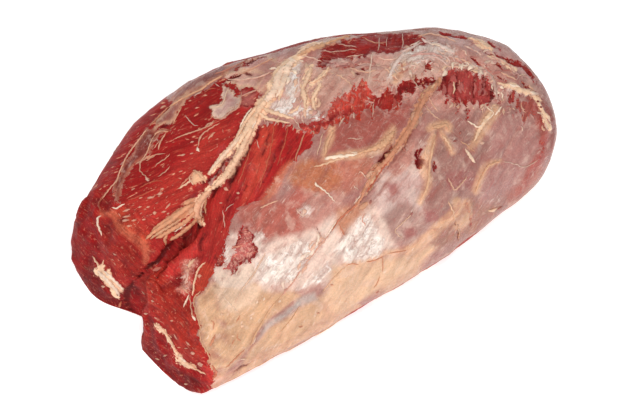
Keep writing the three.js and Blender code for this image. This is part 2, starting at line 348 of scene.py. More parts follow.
# ---------------------------------------------------------------- colours
DEEP, ORANGE, BROWN, RIM = (152, 34, 30), (182, 56, 40), (150, 40, 34), (140, 13, 14)
MAUVE, SILVER, PINK, TAN = (168, 118, 108), (200, 164, 152), (190, 134, 121), (196, 132, 100)
BEIGE, CREAM, PEARL_AND_SHEEN, LILAC = (205, 160, 125), (216, 173, 139), (236, 214, 198), (190, 162, 148)
FAT, FAT_WHITE, FAT_TAN, FAT_ORANGE = (240, 200, 166), (244, 220, 196), (214, 164, 128), (196, 108, 78)
STRAND = (201, 137, 105)
FAT_RUST = (158, 66, 57)

# ---------------------------------------------------------------- muscle laid bare: outlines in picture points
FAR_LOBE = [(40, 340), (46, 200), (70, 150), (112, 96), (140, 96), (160, 96), (170, 100), (176, 104), (185, 99), (201, 92), (211, 85),
            (224, 77), (236, 73), (250, 67), (264, 63), (270, 72), (262, 88), (258, 104), (252, 114), (244, 130), (238, 143),
            (226, 160), (216, 174), (206, 186), (202, 204), (204, 216), (202, 227), (184, 241), (168, 252), (152, 263), (140, 277), (134, 296),
            (132, 330)]
NEAR_LOBE = [(136, 279), (156, 262), (180, 243), (200, 226), (203, 212), (206, 196), (214, 182), (226, 166), (240, 152), (252, 134),
             (259, 125), (274, 122), (286, 123), (298, 129), (315, 133), (311, 146), (303, 154), (294, 161), (283, 171), (270, 189),
             (262, 200), (250, 204), (240, 207), (234, 216), (229, 228), (226, 241), (222, 255), (215, 261), (213, 268), (214, 275),
             (207, 286), (195, 298), (193, 304), (196, 315), (200, 326), (199, 336), (203, 345), (209, 356), (209, 365), (215, 374),
             (214, 381), (208, 400), (150, 392), (126, 330)]
RED = [
    ((146, 40, 38), 0.5, [(317, 66), (322, 52), (334, 43), (350, 38), (370, 33), (398, 32), (422, 35), (432, 42), (424, 44), (416, 44), (410, 47), (402, 47), (396, 53), (388, 50), (381, 53), (372, 51), (364, 56), (354, 53), (346, 58), (338, 57), (332, 63), (326, 66)]),
    (DEEP, 0.6, [(320, 47), (335, 43), (347, 39), (367, 34), (378, 33), (378, 49), (367, 55), (359, 58), (358, 50), (350, 48), (341, 49), (331, 52), (325, 49)]),
    (DEEP, 0.6, [(321, 53), (331, 54), (336, 56), (331, 63), (327, 67), (316, 66)]),
    (DEEP, 0.5, [(342, 49), (358, 50), (357, 55), (350, 59), (341, 54)]),
    (DEEP, 0.6, [(380, 37), (401, 35), (403, 47), (398, 50), (392, 55), (380, 51)]),
    (DEEP, 0.5, [(405, 38), (419, 36), (415, 45), (406, 48)]),
    ((206, 73, 59), 0.7, [(331, 105), (344, 92), (352, 85), (366, 81), (368, 91), (377, 95), (368, 101), (358, 108), (352, 115), (338, 119), (333, 125), (321, 128), (317, 134), (298, 131), (314, 124), (324, 120)]),
    (DEEP, 0.5, [(376, 95), (388, 92), (399, 93), (403, 100), (394, 104), (386, 112), (378, 108), (370, 103)]),
    (DEEP, 0.6, [(400, 82), (412, 79), (418, 84), (413, 92), (402, 95), (394, 92)]),
    (DEEP, 0.8, [(416, 78), (424, 77), (433, 79), (433, 84), (424, 88), (416, 86)]),
    ((178, 68, 64), 1.0, [(449, 73), (457, 70), (465, 71), (473, 71), (478, 75), (485, 78), (491, 85), (494, 93), (494, 99), (489, 104), (481, 106), (475, 104), (470, 99), (466, 98), (465, 106), (457, 101), (453, 105), (450, 96), (441, 91), (438, 91), (439, 81), (444, 76)]),
    ((160, 62, 56), 0.5, [(507, 90), (517, 91), (516, 95), (513, 106), (508, 99)]),
    ((166, 88, 78), 0.3, [(518, 105), (532, 97), (534, 114), (524, 121)]),
    (DEEP, 0.8, [(424, 62), (430, 62), (431, 70), (425, 72)]),
    ((122, 18, 24), 2.2, [(425, 146), (423, 151), (420, 155), (422, 157), (427, 161), (425, 166), (421, 167), (417, 168), (415, 164), (415, 160), (417, 159), (415, 156), (415, 151), (420, 149)]),
    ((122, 18, 24), 1.8, [(435, 160), (438, 166), (435, 173), (433, 167)]),
    ((180, 92, 86), 0.9, [(249, 225), (246, 230), (254, 235), (253, 244), (255, 250), (250, 260), (245, 262), (241, 260), (238, 266), (234, 273), (229, 273), (226, 269), (228, 263), (232, 256), (236, 252), (233, 246), (236, 241), (241, 238), (238, 234), (243, 231), (242, 227)]),
    (ORANGE, 0.5, [(215, 256), (223, 255), (225, 262), (221, 268), (214, 268)]),
]
RED_LINES = [
    ((140, 30, 30), 0.4, [(224, 82, 1.6), (230, 79, 3), (240, 75, 2)]), ((140, 30, 30), 0.4, [(244, 68, 1.6), (252, 64, 4), (259, 60, 3), (265, 57, 1.5)]), ((150, 46, 40), 0.3, [(234, 72, 1), (241, 68, 2.6), (247, 63, 2)]), ((146, 36, 34), 0.3, [(268, 52, 1.4), (282, 47, 2.6), (296, 42, 3), (310, 38, 2)]),
    ((160, 62, 54), 0.25, [(534, 103, 1), (539, 112, 2), (541, 122, 1.4)]), ((164, 66, 56), 0.2, [(543, 142, 1), (543, 150, 2.4), (540, 159, 1)]),
    ((140, 34, 32), 0.4, [(392, 96, 3), (402, 90, 6), (414, 84, 7.5), (426, 82, 7), (438, 82, 6), (448, 80, 5)]),
    ((172, 54, 48), 0.3, [(300, 126, 4), (316, 124, 5), (330, 118, 5), (346, 112, 6), (360, 108, 5), (376, 104, 5), (392, 100, 4)]),
    ((134, 28, 30), 0.5, [(249, 225, 1), (246, 230, 1.8), (253, 235, 2), (253, 244, 2.4), (255, 250, 2.4), (250, 260, 2.4), (245, 262, 2), (241, 261, 2), (237, 268, 2.2), (234, 273, 2), (229, 273, 1.6)]),
    ((134, 28, 30), 0.5, [(242, 228, 1), (239, 234, 1.6), (241, 238, 1.4), (236, 242, 1.6), (234, 247, 1.4)]),
    ((134, 28, 30), 0.4, [(215, 257, 1.4), (217, 264, 2), (222, 267, 1.6), (226, 263, 1.2)]),
    ((158, 66, 50), 0.3, [(412, 130, 1.6), (408, 137, 2.6), (404, 145, 1.2)]),
    ((150, 40, 34), 0.5, [(394, 146, 2), (389, 153, 6), (383, 159, 6), (376, 166, 3)]),
    (DEEP, 0.6, [(441, 33, 2), (454, 35, 4), (467, 38, 2)]), (DEEP, 0.6, [(483, 50, 2), (492, 54, 4), (512, 62, 5), (525, 68, 4), (536, 81, 2)]),
    (DEEP, 0.5, [(488, 43, 2), (494, 46, 3), (500, 49, 1)]), (DEEP, 0.5, [(492, 62, 2), (498, 65, 3), (503, 69, 1)]),
    (DEEP, 0.5, [(499, 77, 2), (504, 80, 4), (508, 83, 1)]), (DEEP, 0.4, [(522, 82, 1), (525, 84, 3), (529, 86, 1)]),
    (DEEP, 0.5, [(471, 57, 1), (476, 61, 4), (481, 66, 1)]), (DEEP, 0.4, [(331, 66, 2), (347, 65, 2), (362, 67, 3), (368, 69, 1)]),
    (DEEP, 0.6, [(466, 99, 4), (466, 110, 3), (467, 119, 1)]), ((158, 62, 56), 0.4, [(519, 95, 2.4), (518, 102, 3), (516, 110, 1.6)]),
    (ORANGE, 0.3, [(372, 101, 3), (373, 108, 3), (373, 115, 1)]), (ORANGE, 0.3, [(386, 93, 4), (388, 99, 3), (389, 105, 1)]),
    (ORANGE, 0.4, [(352, 112, 4), (343, 120, 3), (336, 128, 1)]), (ORANGE, 0.4, [(362, 104, 4), (360, 114, 3), (356, 122, 1)]),
    (ORANGE, 0.3, [(396, 100, 4), (397, 108, 3), (395, 116, 1)]), (DEEP, 0.4, [(447, 100, 3), (446, 107, 3), (444, 113, 1)]),
    (DEEP, 0.3, [(457, 103, 3), (457, 110, 2), (456, 116, 1)]), (DEEP, 0.3, [(498, 96, 3), (500, 103, 2), (501, 109, 1)]),
    (BROWN, 0.3, [(465, 203, 2), (467, 209, 3), (470, 215, 2), (471, 225, 1)]),
]
# sheets of skin that lie over the muscle
MEMBRANE = [
    ((122, 46, 40), (190, 112, 84), [(146, 128), (156, 132), (170, 129), (160, 136), (152, 147), (148, 156), (137, 164), (126, 177), (121, 191), (119, 203), (116, 205), (112, 187), (120, 170), (125, 161), (131, 155), (135, 147), (142, 137)]),
    ((184, 144, 136), (228, 198, 170), [(223.8, 86.4), (228, 88), (233, 92), (236, 96), (240, 97), (241, 103), (237.6, 108), (230.7, 111.4), (224, 116.6), (219.5, 119), (211.7, 117), (213.4, 110), (209, 107), (220, 106.2), (222, 98)]),
    ((130, 62, 54), (196, 128, 98), [(170, 100), (176, 92), (190, 82), (206, 72), (222, 62), (232, 58), (228, 72), (220, 78), (208, 84), (200, 88), (184, 97), (174, 104)]),
    ((146, 84, 74), (216, 168, 132), [(188, 94), (174, 104.5), (162, 113), (154, 121.7), (153, 130), (163, 125), (173.8, 120), (180.7, 110), (186, 99)]),
    ((208, 160, 144), CREAM, [(226, 74), (244, 70), (262, 64), (272, 72), (268, 84), (262, 89), (250, 88), (240, 90), (234, 84), (225, 82)]),
    ((192, 138, 126), CREAM, [(242, 62), (262, 56), (275, 58), (280, 70), (270, 84), (262, 92), (258, 92), (256, 86), (262, 74), (250, 72), (240, 72)]),
]
# membranes whitened or thickened; the pearly ones are partly their own whitish colour and partly painted sheen
PALE = [
    ((222, 180, 170), [(404, 51), (412, 50), (410, 58), (403, 64), (397, 72), (393, 80), (386, 79), (391, 67), (397, 58)]),
    (PEARL_AND_SHEEN, [(257, 266), (266, 256), (278, 252), (290, 246), (302, 240), (320, 240), (317, 250), (302, 271), (292, 281), (280, 284), (269, 285), (260, 283)]),
    (PEARL_AND_SHEEN, [(297, 289), (312, 276), (330, 260), (330, 274), (320, 281), (308, 288)]),
    (PEARL_AND_SHEEN, [(359, 218), (368, 215), (377, 228), (384, 242), (382, 255), (368, 259), (349, 264), (335, 255), (333, 249), (347, 234)]),
    ((222, 176, 168), [(400, 52), (406, 49), (413, 48), (419, 41), (423, 45), (434, 41), (441, 45), (448, 46), (457, 51), (455, 55), (445, 56), (449, 64), (441, 61), (431, 60), (418, 62), (404, 65)]),
    (CREAM, [(284, 64), (300, 60), (302, 76), (297, 92), (292, 104), (284, 96), (280, 82)]),
    (CREAM, [(296, 96), (308, 106), (322, 112), (326, 118), (314, 122), (300, 118), (286, 116), (272, 112), (268, 104), (280, 98)]),
    (PEARL_AND_SHEEN, [(304, 204), (312, 206), (310, 214), (302, 217), (298, 210)]),
    (CREAM, [(337, 48), (350, 44), (359, 46), (358, 49), (350, 48), (341, 50)]),
    (PEARL_AND_SHEEN, [(466, 62), (480, 66), (486, 74), (480, 78), (472, 70)]),
    (CREAM, [(508, 84), (520, 88), (532, 94), (528, 97), (516, 92), (507, 90)]),
    (PEARL_AND_SHEEN, [(224, 245), (231, 249), (228, 260), (222, 262)]),
    (PEARL_AND_SHEEN, [(254, 234), (262, 230), (266, 238), (258, 244)]),
]
# fat: (colour, height, line) and (colour, height, outline)
FAT_LINES = [
    (FAT, 1.5, [(322, 45, 6), (306, 50, 8), (294, 60, 10), (282, 71, 12), (275, 84, 12), (269, 97, 13), (261, 109, 15), (254, 119, 15), (247, 130, 13), (241, 140, 10), (236, 148, 7)]),
    (FAT, 1.2, [(240, 138, 6), (236, 143, 6), (228, 151, 6.5), (220, 160, 6), (214, 167, 5), (208, 175, 3)]),
    (FAT, 1.5, [(250, 132, 8), (243, 147, 9), (237, 158, 9), (232, 167, 9), (224, 178, 8), (215, 186, 6), (207, 192, 7), (199, 202, 10), (196, 211, 11), (199, 219, 8), (203, 225, 3)]),
    (FAT_TAN, 0.5, [(352, 35, 2), (336, 40, 3), (320, 45, 5)]),
    (STRAND, 1.3, [(439, 79, 5), (435, 87, 6), (427, 93, 8), (420, 105, 8), (415, 117, 9), (409, 129, 9), (401, 142, 9), (394, 150, 8), (386, 161, 7), (377, 168, 6), (371, 178, 6), (366, 188, 5), (360, 199, 4), (355, 206, 3)]),
    (FAT_TAN, 0.5, [(393, 128, 4), (389, 137, 10), (384, 144, 11), (376, 148, 9), (366, 150, 7), (357, 153, 7), (340, 156, 6), (331, 158, 6), (323, 159, 4)]),
    (FAT_TAN, 0.4, [(333, 128, 5), (330, 139, 6), (327, 148, 5), (325, 156, 4)]),
    (FAT_TAN, 0.5, [(428, 130, 5), (435, 127, 7), (445, 125, 7), (449, 130, 6)]), (FAT_TAN, 0.4, [(441, 134, 5), (447, 142, 5), (452, 151, 4)]),
    (FAT_TAN, 0.4, [(433, 138, 6), (429, 152, 7), (425, 168, 7), (427, 182, 7), (425, 194, 6), (420, 203, 4)]),
    (FAT_TAN, 0.5, [(496, 110, 8), (490, 117, 10), (483, 127, 9), (476, 139, 7), (470, 148, 4)]),
    (FAT_TAN, 0.4, [(501, 160, 3), (487, 166, 7), (481, 178, 6), (475, 192, 4)]),
    (FAT_TAN, 0.4, [(455, 202, 8), (457, 210, 9), (447, 220, 8), (437, 230, 8), (424, 241, 8), (409, 252, 7)]),
    (FAT_TAN, 0.3, [(460, 226, 8), (468, 216, 6), (466, 204, 6)]),
    (FAT, 0.8, [(499, 84, 4), (512, 86, 6), (522, 90, 7), (534, 95, 6), (541, 107, 5), (545, 118, 6), (549, 130, 4)]),
    (FAT, 0.6, [(469, 38, 4), (480, 42, 6), (484, 46, 6), (492, 49, 4)]), (FAT, 0.5, [(490, 55, 4), (500, 60, 5), (510, 66, 5), (515, 71, 3)]),
    (FAT, 0.8, [(312, 66, 5), (307, 78, 6), (303, 90, 6), (305, 101, 7), (305, 110, 4)]), (FAT, 0.6, [(330, 66, 4), (325, 74, 4), (316, 81, 5), (308, 85, 3)]),
    (FAT, 0.7, [(321, 82, 4), (316, 93, 5), (313, 102, 5), (315, 112, 4)]),
    (FAT_RUST, 0.4, [(526, 93, 5), (535, 104, 6), (540, 118, 6), (543, 134, 6), (543, 148, 6), (539, 160, 6), (531, 172, 6), (524, 182, 5), (518, 192, 4)]),
    (FAT_ORANGE, 0.3, [(292, 163, 5), (283, 172, 7), (273, 189, 7), (264, 202, 5)]),
    (FAT_ORANGE, 0.3, [(101, 212, 5), (113, 214, 6), (120, 226, 7), (131, 236, 8), (143, 244, 9), (147, 253, 8), (145, 262, 5)]),
    (FAT, 0.6, [(154, 324, 2), (160, 327, 3), (165, 332, 2.5), (170, 340, 3), (175, 350, 3.5), (178, 355, 4), (182, 361, 6), (190, 366, 5), (196, 369, 2)]),
    (FAT_TAN, 0.4, [(410, 46, 4), (406, 58, 6), (400, 70, 7), (396, 80, 5)]),
    (FAT_TAN, 0.4, [(346, 266, 3), (359, 264, 4), (374, 260, 4), (388, 254, 4), (396, 252, 4), (409, 249, 3)]),
]
FAT_PATCHES = [
    ((194, 126, 92), 0.4, [(198, 198), (189, 202), (177, 211), (165, 220), (153, 231), (158, 235), (170, 228), (182, 219), (192, 212), (199, 208)]),
    ((222, 170, 134), 0.7, [(194, 169), (200, 172), (207, 180), (203, 184), (199, 182), (197, 186), (193, 183), (190, 179), (191, 174)]),
    (FAT, 1.1, [(92, 270), (96, 269), (99, 269), (100, 265), (103, 264), (104, 269), (109, 270), (113, 278), (118, 284), (125, 289), (123, 293), (118, 292), (120, 297), (118, 299), (114, 295), (111, 287), (106, 284), (100, 278), (95, 275)]),
    (FAT_WHITE, 0.9, [(189, 260), (198, 260), (196, 268), (191, 276), (191, 283), (190, 290), (186, 295), (181, 293), (177, 289), (182, 283), (184, 278), (184, 273), (182, 269), (184, 265)]),
]
# slits: recessed, and painted near-black inside, which is painted shade
SLITS = [
    (0.5, [(270, 127, 1.2), (267, 142, 1.8), (259, 160, 2.2), (250, 178, 2), (244, 192, 1.4)]), (0.45, [(284, 129, 1), (281, 146, 1.6), (271, 168, 1.6), (262, 184, 1.2)]),
    (0.45, [(296, 132, 1), (293, 144, 1.5), (285, 160, 1.4)]), (0.5, [(246, 150, 1.2), (240, 166, 1.8), (232, 186, 2), (224, 206, 1.8), (220, 222, 1.2)]),
    (2.2, [(136, 279, 2.6), (148, 268, 4), (156, 261, 5), (163, 255, 5.6), (170, 249, 4.8), (180, 241, 3.8), (191, 233, 3.2), (202, 225, 2.2)]), (1.2, [(204, 234, 1.6), (202, 243, 3.4), (200, 252, 1.6)]),
    (1.8, [(230, 157, 1.5), (222, 162, 3), (217, 171, 3), (210, 179, 4), (203, 183, 4)]),
    (1.6, [(259, 127, 1.5), (255, 136, 2), (249, 146, 2.5), (240, 161, 3), (235, 171, 3.5), (229, 182, 3)]),
    (1.5, [(236, 169, 2), (232, 176, 6), (229, 184, 3)]), (1.3, [(217, 187, 3), (214, 192, 5), (211, 198, 3)]),
    (0.7, [(259, 110, 1.5), (249, 128, 2), (239, 147, 2), (232, 154, 1.5)]),
    (1.3, [(411, 133, 1), (406, 143, 1.8), (400, 151, 1.6)]), (0.5, [(396, 160, 0.8), (389, 168, 1.1), (383, 176, 0.8)]),
    (1.4, [(394, 145, 1.5), (390, 151, 3.5), (385, 156, 4.5), (380, 161, 3.5), (376, 165, 1.5)]),
    (0.9, [(228, 80, 1.5), (234, 77, 3), (240, 75, 1.5)]), (0.9, [(247, 65, 2), (253, 63, 3), (258, 61, 1.5)]), (0.7, [(245, 73, 2), (249, 74, 4), (252, 75, 2)]),
    (0.7, [(241, 104, 1), (250, 106, 2), (258, 105, 1)]), (1.0, [(131, 285, 2), (126, 300, 7), (131, 314, 5)]),
    (0.6, [(161, 128, 1.5), (166, 125, 3)]), (1.0, [(457, 71, 2), (456, 86, 2.5), (455, 99, 1.5)]), (0.9, [(485, 75, 2), (486, 82, 4), (484, 90, 2)]),
    (1.1, [(491, 85, 2), (494, 95, 4), (491, 102, 3)]), (0.8, [(474, 73, 1.5), (475, 85, 2), (474, 96, 1.5)]), (0.6, [(511, 92, 1.5), (512, 102, 1)]),
    (0.5, [(315, 226, 1.5), (318, 231, 1.5), (321, 237, 1)]), (0.6, [(215, 285, 1), (218, 290, 1.5), (222, 294, 1)]),
    (0.6, [(374, 138, 1), (372, 141, 1.5), (369, 144, 1)]), (0.5, [(455, 221, 1.5), (459, 233, 1.5), (458, 240, 1)]),
    (0.5, [(235, 371, 1.5), (242, 367, 2.5), (249, 364, 1)]), (0.5, [(352, 208, 1.5), (340, 219, 1.5), (330, 233, 1.5)]),
    (0.6, [(118, 204, 1.5), (120, 206, 2.5), (116, 206, 1.5)]), (0.5, [(200, 254, 1.5), (203, 246, 2), (203, 237, 1)]),
    (0.6, [(191, 376, 2), (196, 381, 4), (200, 384, 2)]), (0.5, [(357, 74, 3), (360, 74, 2)]), (0.4, [(289, 114, 2), (293, 114, 2)]),
]
# folds of the skin, along the strand
WRINKLES = [(0.7, [(402, 152, 2), (392, 165, 3), (383, 178, 3), (372, 190, 3), (360, 203, 2)]), (0.5, [(250, 350, 3), (258, 337, 4), (269, 325, 4), (282, 313, 4), (292, 305, 3)]), (0.6, [(405, 166, 6), (396, 176, 8), (386, 188, 8), (376, 200, 6)]),
            (0.4, [(398, 172, 3), (388, 186, 4), (380, 198, 3)]), (0.4, [(412, 172, 3), (402, 188, 4), (392, 202, 3)]), (0.4, [(345, 236, 4), (336, 246, 5), (330, 256, 3)]),
            (0.4, [(302, 250, 3), (292, 262, 4), (284, 276, 3)]), (0.4, [(290, 250, 3), (280, 262, 4), (272, 276, 3)]), (0.4, [(366, 222, 3), (356, 238, 4), (350, 256, 3)]),
            (0.5, [(330, 166, 4), (322, 180, 5), (316, 196, 4)]), (0.5, [(262, 210, 4), (256, 222, 5), (258, 240, 3)]), (0.4, [(470, 150, 4), (462, 164, 5), (456, 178, 3)]),
            (0.5, [(440, 180, 5), (432, 196, 6), (420, 214, 5)]), (0.5, [(515, 130, 5), (510, 146, 6), (502, 164, 4)])]
# soft tints of the skin
WASHES = [
    ((210, 150, 135), 14, [(262, 60), (330, 50), (460, 48), (500, 60), (520, 92), (470, 112), (400, 100), (330, 110), (290, 120), (262, 106)]),
    ((214, 168, 150), 10, [(300, 62), (340, 66), (400, 60), (450, 60), (440, 74), (400, 86), (360, 82), (330, 98), (300, 104), (284, 96)]),
    ((196, 146, 130), 8, [(326, 72), (350, 66), (372, 76), (356, 86), (334, 100), (322, 110), (312, 112)]),
    ((162, 86, 76), 9, [(322, 124), (346, 114), (392, 104), (416, 100), (404, 124), (380, 140), (350, 150), (330, 152)]),
    ((180, 106, 74), 10, [(296, 166), (312, 158), (338, 160), (346, 172), (338, 192), (318, 198), (298, 192), (288, 180)]),
    ((184, 112, 90), 8, [(338, 160), (372, 152), (372, 168), (356, 188), (340, 196), (342, 176)]),
    ((172, 94, 81), 11, [(240, 204), (282, 200), (300, 188), (318, 200), (312, 224), (284, 238), (262, 238), (246, 226)]),
    ((182, 124, 110), 9, [(312, 196), (340, 190), (346, 212), (330, 232), (306, 238), (300, 216)]),
    # a pale wash over the pearly part of the near side: partly whitish membrane, partly painted sheen
    ((224, 194, 178), 10, [(252, 262), (262, 244), (290, 232), (318, 226), (340, 214), (366, 206), (392, 214), (404, 240), (392, 258), (350, 272), (318, 286), (284, 296), (256, 292)]),
    ((186, 126, 98), 11, [(338, 210), (352, 204), (370, 206), (362, 220), (346, 234), (336, 228)]),
    ((202, 170, 160), 10, [(372, 200), (382, 178), (404, 160), (424, 168), (434, 190), (424, 214), (404, 226), (384, 220)]),
    ((184, 128, 114), 6, [(388, 170), (396, 156), (412, 140), (418, 150), (412, 166), (398, 178)]),
    ((158, 114, 104), 12, [(424, 130), (456, 124), (486, 136), (488, 170), (470, 200), (440, 216), (424, 200), (430, 170)]),
    ((170, 120, 112), 10, [(486, 120), (512, 108), (534, 118), (540, 148), (524, 172), (504, 196), (486, 204), (478, 190), (490, 160)]),
    ((168, 128, 118), 8, [(384, 220), (404, 206), (424, 214), (436, 226), (420, 244), (400, 246), (388, 236)]),
    ((162, 106, 100), 7, [(386, 186), (398, 184), (402, 196), (392, 200)]),
    ((158, 98, 92), 6, [(424, 208), (436, 208), (438, 222), (426, 224)]), ((156, 96, 90), 6, [(402, 226), (414, 226), (416, 238), (404, 240)]),
    ((156, 98, 92), 7, [(444, 172), (470, 168), (482, 176), (472, 190), (456, 194), (446, 186)]),
    ((158, 104, 84), 8, [(444, 216), (470, 200), (486, 204), (500, 206), (480, 226), (456, 244), (436, 250), (430, 236)]),
    (CREAM, 9, [(322, 300), (334, 268), (352, 268), (396, 256), (430, 244), (440, 250), (420, 268), (390, 288), (356, 306), (330, 318)]),
    (BEIGE, 9, [(196, 300), (214, 284), (240, 276), (262, 290), (290, 292), (300, 300), (276, 314), (256, 336), (240, 356), (222, 376), (206, 380), (200, 340)]),
    ((218, 182, 154), 8, [(214, 284), (240, 274), (262, 290), (256, 306), (234, 312), (216, 304)]),
    (BEIGE, 9, [(270, 330), (300, 310), (322, 296), (330, 318), (300, 334), (270, 350), (244, 366), (250, 350)]),
    ((206, 150, 126), 5, [(207, 366), (222, 376), (244, 366), (262, 354), (250, 372), (222, 390), (204, 392)]),
    ((177, 156, 147), 5, [(255, 343), (261, 332), (271, 322), (288, 309), (302, 300), (315, 293), (320, 300), (302, 308), (292, 314), (278, 324), (265, 334), (257, 342)]),
    ((206, 158, 126), 4, [(230, 376), (262, 354), (300, 334), (330, 318), (356, 306), (364, 310), (330, 326), (300, 344), (262, 366), (236, 382)]),
    ((222, 196, 182), 7, [(214, 252), (232, 236), (258, 236), (268, 252), (262, 276), (244, 290), (222, 284), (213, 268)]),
    ((224, 196, 176), 8, [(226, 262), (250, 262), (256, 276), (240, 290), (222, 284), (214, 274)]),
    # darker along the right edge of the round end: painted shade
    ((144, 68, 58), 7, [(528, 84), (546, 100), (556, 130), (556, 160), (546, 176), (548, 140), (542, 110)]),
    ((172, 106, 92), 6, [(506, 196), (528, 176), (548, 160), (552, 170), (530, 190), (508, 208)]),
    ((200, 156, 148), 6, [(440, 32), (470, 34), (500, 44), (526, 62), (544, 84), (530, 80), (500, 60), (470, 48), (440, 42)]),
]
RED_WASHES = [
    # dark wash low on the far lobe's cut face: painted shade where the face turns downward
    ((96, 15, 18), 5, [(110, 300), (118, 293), (126, 287), (134, 283), (138, 300), (136, 318), (122, 314), (108, 308)]),
    # narrow orange streaks beside the slits: painted highlights on the edges of the bundles
    ((196, 78, 58), 3, [(264, 128), (268, 128), (262, 152), (252, 176), (244, 190), (242, 186), (250, 170), (259, 150)]),
    ((190, 70, 52), 3, [(276, 128), (280, 129), (276, 150), (266, 172), (256, 188), (254, 184), (264, 166), (272, 148)]),
    ((188, 66, 50), 3, [(290, 132), (293, 133), (288, 152), (278, 168), (276, 164), (284, 150)]),
    ((190, 72, 56), 3, [(234, 186), (238, 184), (230, 206), (224, 228), (218, 244), (214, 242), (221, 222), (227, 204)]),
    ((152, 24, 23), 12, [(60, 150), (110, 100), (170, 90), (230, 70), (260, 80), (240, 110), (220, 140), (190, 150), (150, 190), (110, 210), (60, 240)]),
    ((176, 46, 38), 12, [(214, 120), (236, 128), (214, 158), (204, 174), (192, 196), (160, 228), (146, 240), (124, 226), (112, 212), (120, 204), (150, 190), (186, 160)]),
    ((182, 62, 43), 6, [(110, 212), (124, 208), (140, 228), (152, 236), (148, 250), (134, 240), (120, 228)]),
    ((146, 32, 26), 7, [(100, 216), (112, 218), (122, 230), (142, 246), (146, 262), (138, 276), (122, 280), (104, 262), (98, 240)]),
    (RIM, 8, [(60, 210), (90, 200), (100, 226), (98, 262), (120, 296), (134, 290), (134, 322), (90, 310), (66, 270)]),
    ((162, 42, 32), 7, [(138, 280), (162, 266), (178, 290), (192, 310), (200, 334), (206, 352), (196, 362), (180, 350), (166, 326), (146, 304)]),
    # darker towards the bottom of the near lobe's cut face: painted shade where it turns downward
    ((146, 14, 17), 8, [(132, 290), (146, 306), (156, 326), (172, 352), (184, 366), (206, 374), (206, 398), (176, 390), (150, 360), (138, 330)]),
    # a lighter wash in the hollow between the lobes: painted light that offsets the hollow's shade
    ((180, 46, 42), 7, [(164, 262), (180, 244), (202, 228), (206, 240), (200, 256), (188, 262), (176, 282), (166, 276)]),
    ((186, 60, 42), 5, [(206, 262), (213, 268), (214, 275), (211, 281), (204, 289), (196, 297), (194, 290), (198, 276), (200, 262)]),
    ((164, 30, 30), 7, [(268, 122), (300, 128), (314, 134), (304, 152), (292, 164), (276, 184), (266, 186), (270, 160), (274, 140)]),
    ((186, 60, 46), 6, [(262, 124), (276, 123), (272, 146), (264, 170), (252, 196), (240, 206), (240, 186), (250, 160)]),
    ((164, 40, 35), 6, [(240, 166), (252, 150), (250, 176), (236, 204), (226, 230), (220, 250), (210, 258), (206, 240), (214, 206), (226, 184)]),
    ((150, 26, 30), 4, [(238, 186), (244, 180), (242, 196), (234, 206), (228, 220), (224, 212), (230, 196)]),
    # these dark washes along the lower edges of the cut faces are painted shade
    ((112, 8, 12), 7, [(84, 262), (94, 268), (101, 282), (110, 292), (122, 300), (134, 306), (134, 320), (108, 314), (92, 296), (82, 276)]),
    ((120, 8, 12), 6, [(146, 342), (156, 344), (168, 362), (184, 372), (196, 380), (204, 388), (190, 396), (164, 384), (146, 360)]),
    ((104, 8, 12), 5, [(184, 374), (192, 374), (200, 382), (198, 388), (188, 384)]), ((122, 12, 16), 5, [(148, 322), (153, 322), (158, 338), (160, 352), (152, 348)]),
    ((180, 44, 40), 5, [(206, 366), (213, 368), (217, 377), (210, 382), (204, 378)]),
    ((172, 92, 84), 6, [(242, 92), (258, 92), (256, 104), (248, 108), (240, 104)]),
]

# ---------------------------------------------------------------- the features laid on the form
count = len(P)
red, fat, pale, slit_shade = (np.full(count, -40.0) for _ in range(4))
relief = np.zeros(count)
under = np.tile(srgb(MAUVE), (count, 1))
redcol = np.tile(srgb((166, 36, 34)), (count, 1))
fatcol = np.tile(srgb(FAT), (count, 1))


def tint(layer, colour, share):
    layer[:] = layer * (1 - share[:, None]) + srgb(colour) * share[:, None]


for colour, soft, outline in WASHES:
    tint(under, colour, smooth(-soft / 2, soft / 2, inside(SOFT, outline)))
for colour, soft, outline in RED_WASHES:
    tint(redcol, colour, smooth(-soft / 2, soft / 2, inside(WARP, outline)))
far_d, near_d = inside(WARP, FAR_LOBE), inside(WARP, NEAR_LOBE)
red = np.maximum(far_d, near_d)
for colour, edge, outline in MEMBRANE:
    d = inside(WARP, outline)
    red = np.minimum(red, -d)
    tint(under, colour, smooth(-1, 2, d))
    tint(under, edge, 0.6 * smooth(-2, 0, d) * (1 - smooth(1.0, 4.5, d)))
    relief += 0.45 * smooth(-1.5, 2.0, d)
creamy = np.zeros(count)
for colour, soft, outline in WASHES:
    if colour in (BEIGE, CREAM, LILAC, (218, 182, 154)):
        creamy = np.maximum(creamy, smooth(-5, 5, inside(SOFT, outline)))
froth = np.zeros(count)
for n, (colour, depth, outline) in enumerate(RED):
    d = inside(WARP if n in (0, 14, 15, 16, 17) else TORN, outline)
    if n in (16, 17):
        froth = np.maximum(froth, smooth(0.8, 2.6, d))
    elif n in (0, 6, 10):
        froth = np.maximum(froth, (0.34 if n == 0 else 0.4 if n == 6 else 0.22) * smooth(-5, 2, d) * (1 - 0.75 * smooth(3, 9, d)))
    red = np.maximum(red, d)
    tint(redcol, colour, smooth(-2, 1, d))
    relief -= depth * smooth(-1.0, 3.5, d)
    tint(under, SILVER, 0.5 * smooth(-5, -1, d) * (1 - smooth(-1, 1, d)))
for colour, depth, line in RED_LINES:
    d, share = near_line(TORN if line[0][1] > 84 and line[0][0] > 330 and line[0][0] < 520 else WARP, line)
    red = np.maximum(red, d)
    tint(redcol, colour, smooth(-1.5, 0.5, d))
    relief -= depth * (1 - smooth(0.2, 1.3, share))
for colour, outline in PALE:
    d = inside(WARP, outline)
    pale = np.maximum(pale, d)
    relief += 0.3 * smooth(-2, 5, d)
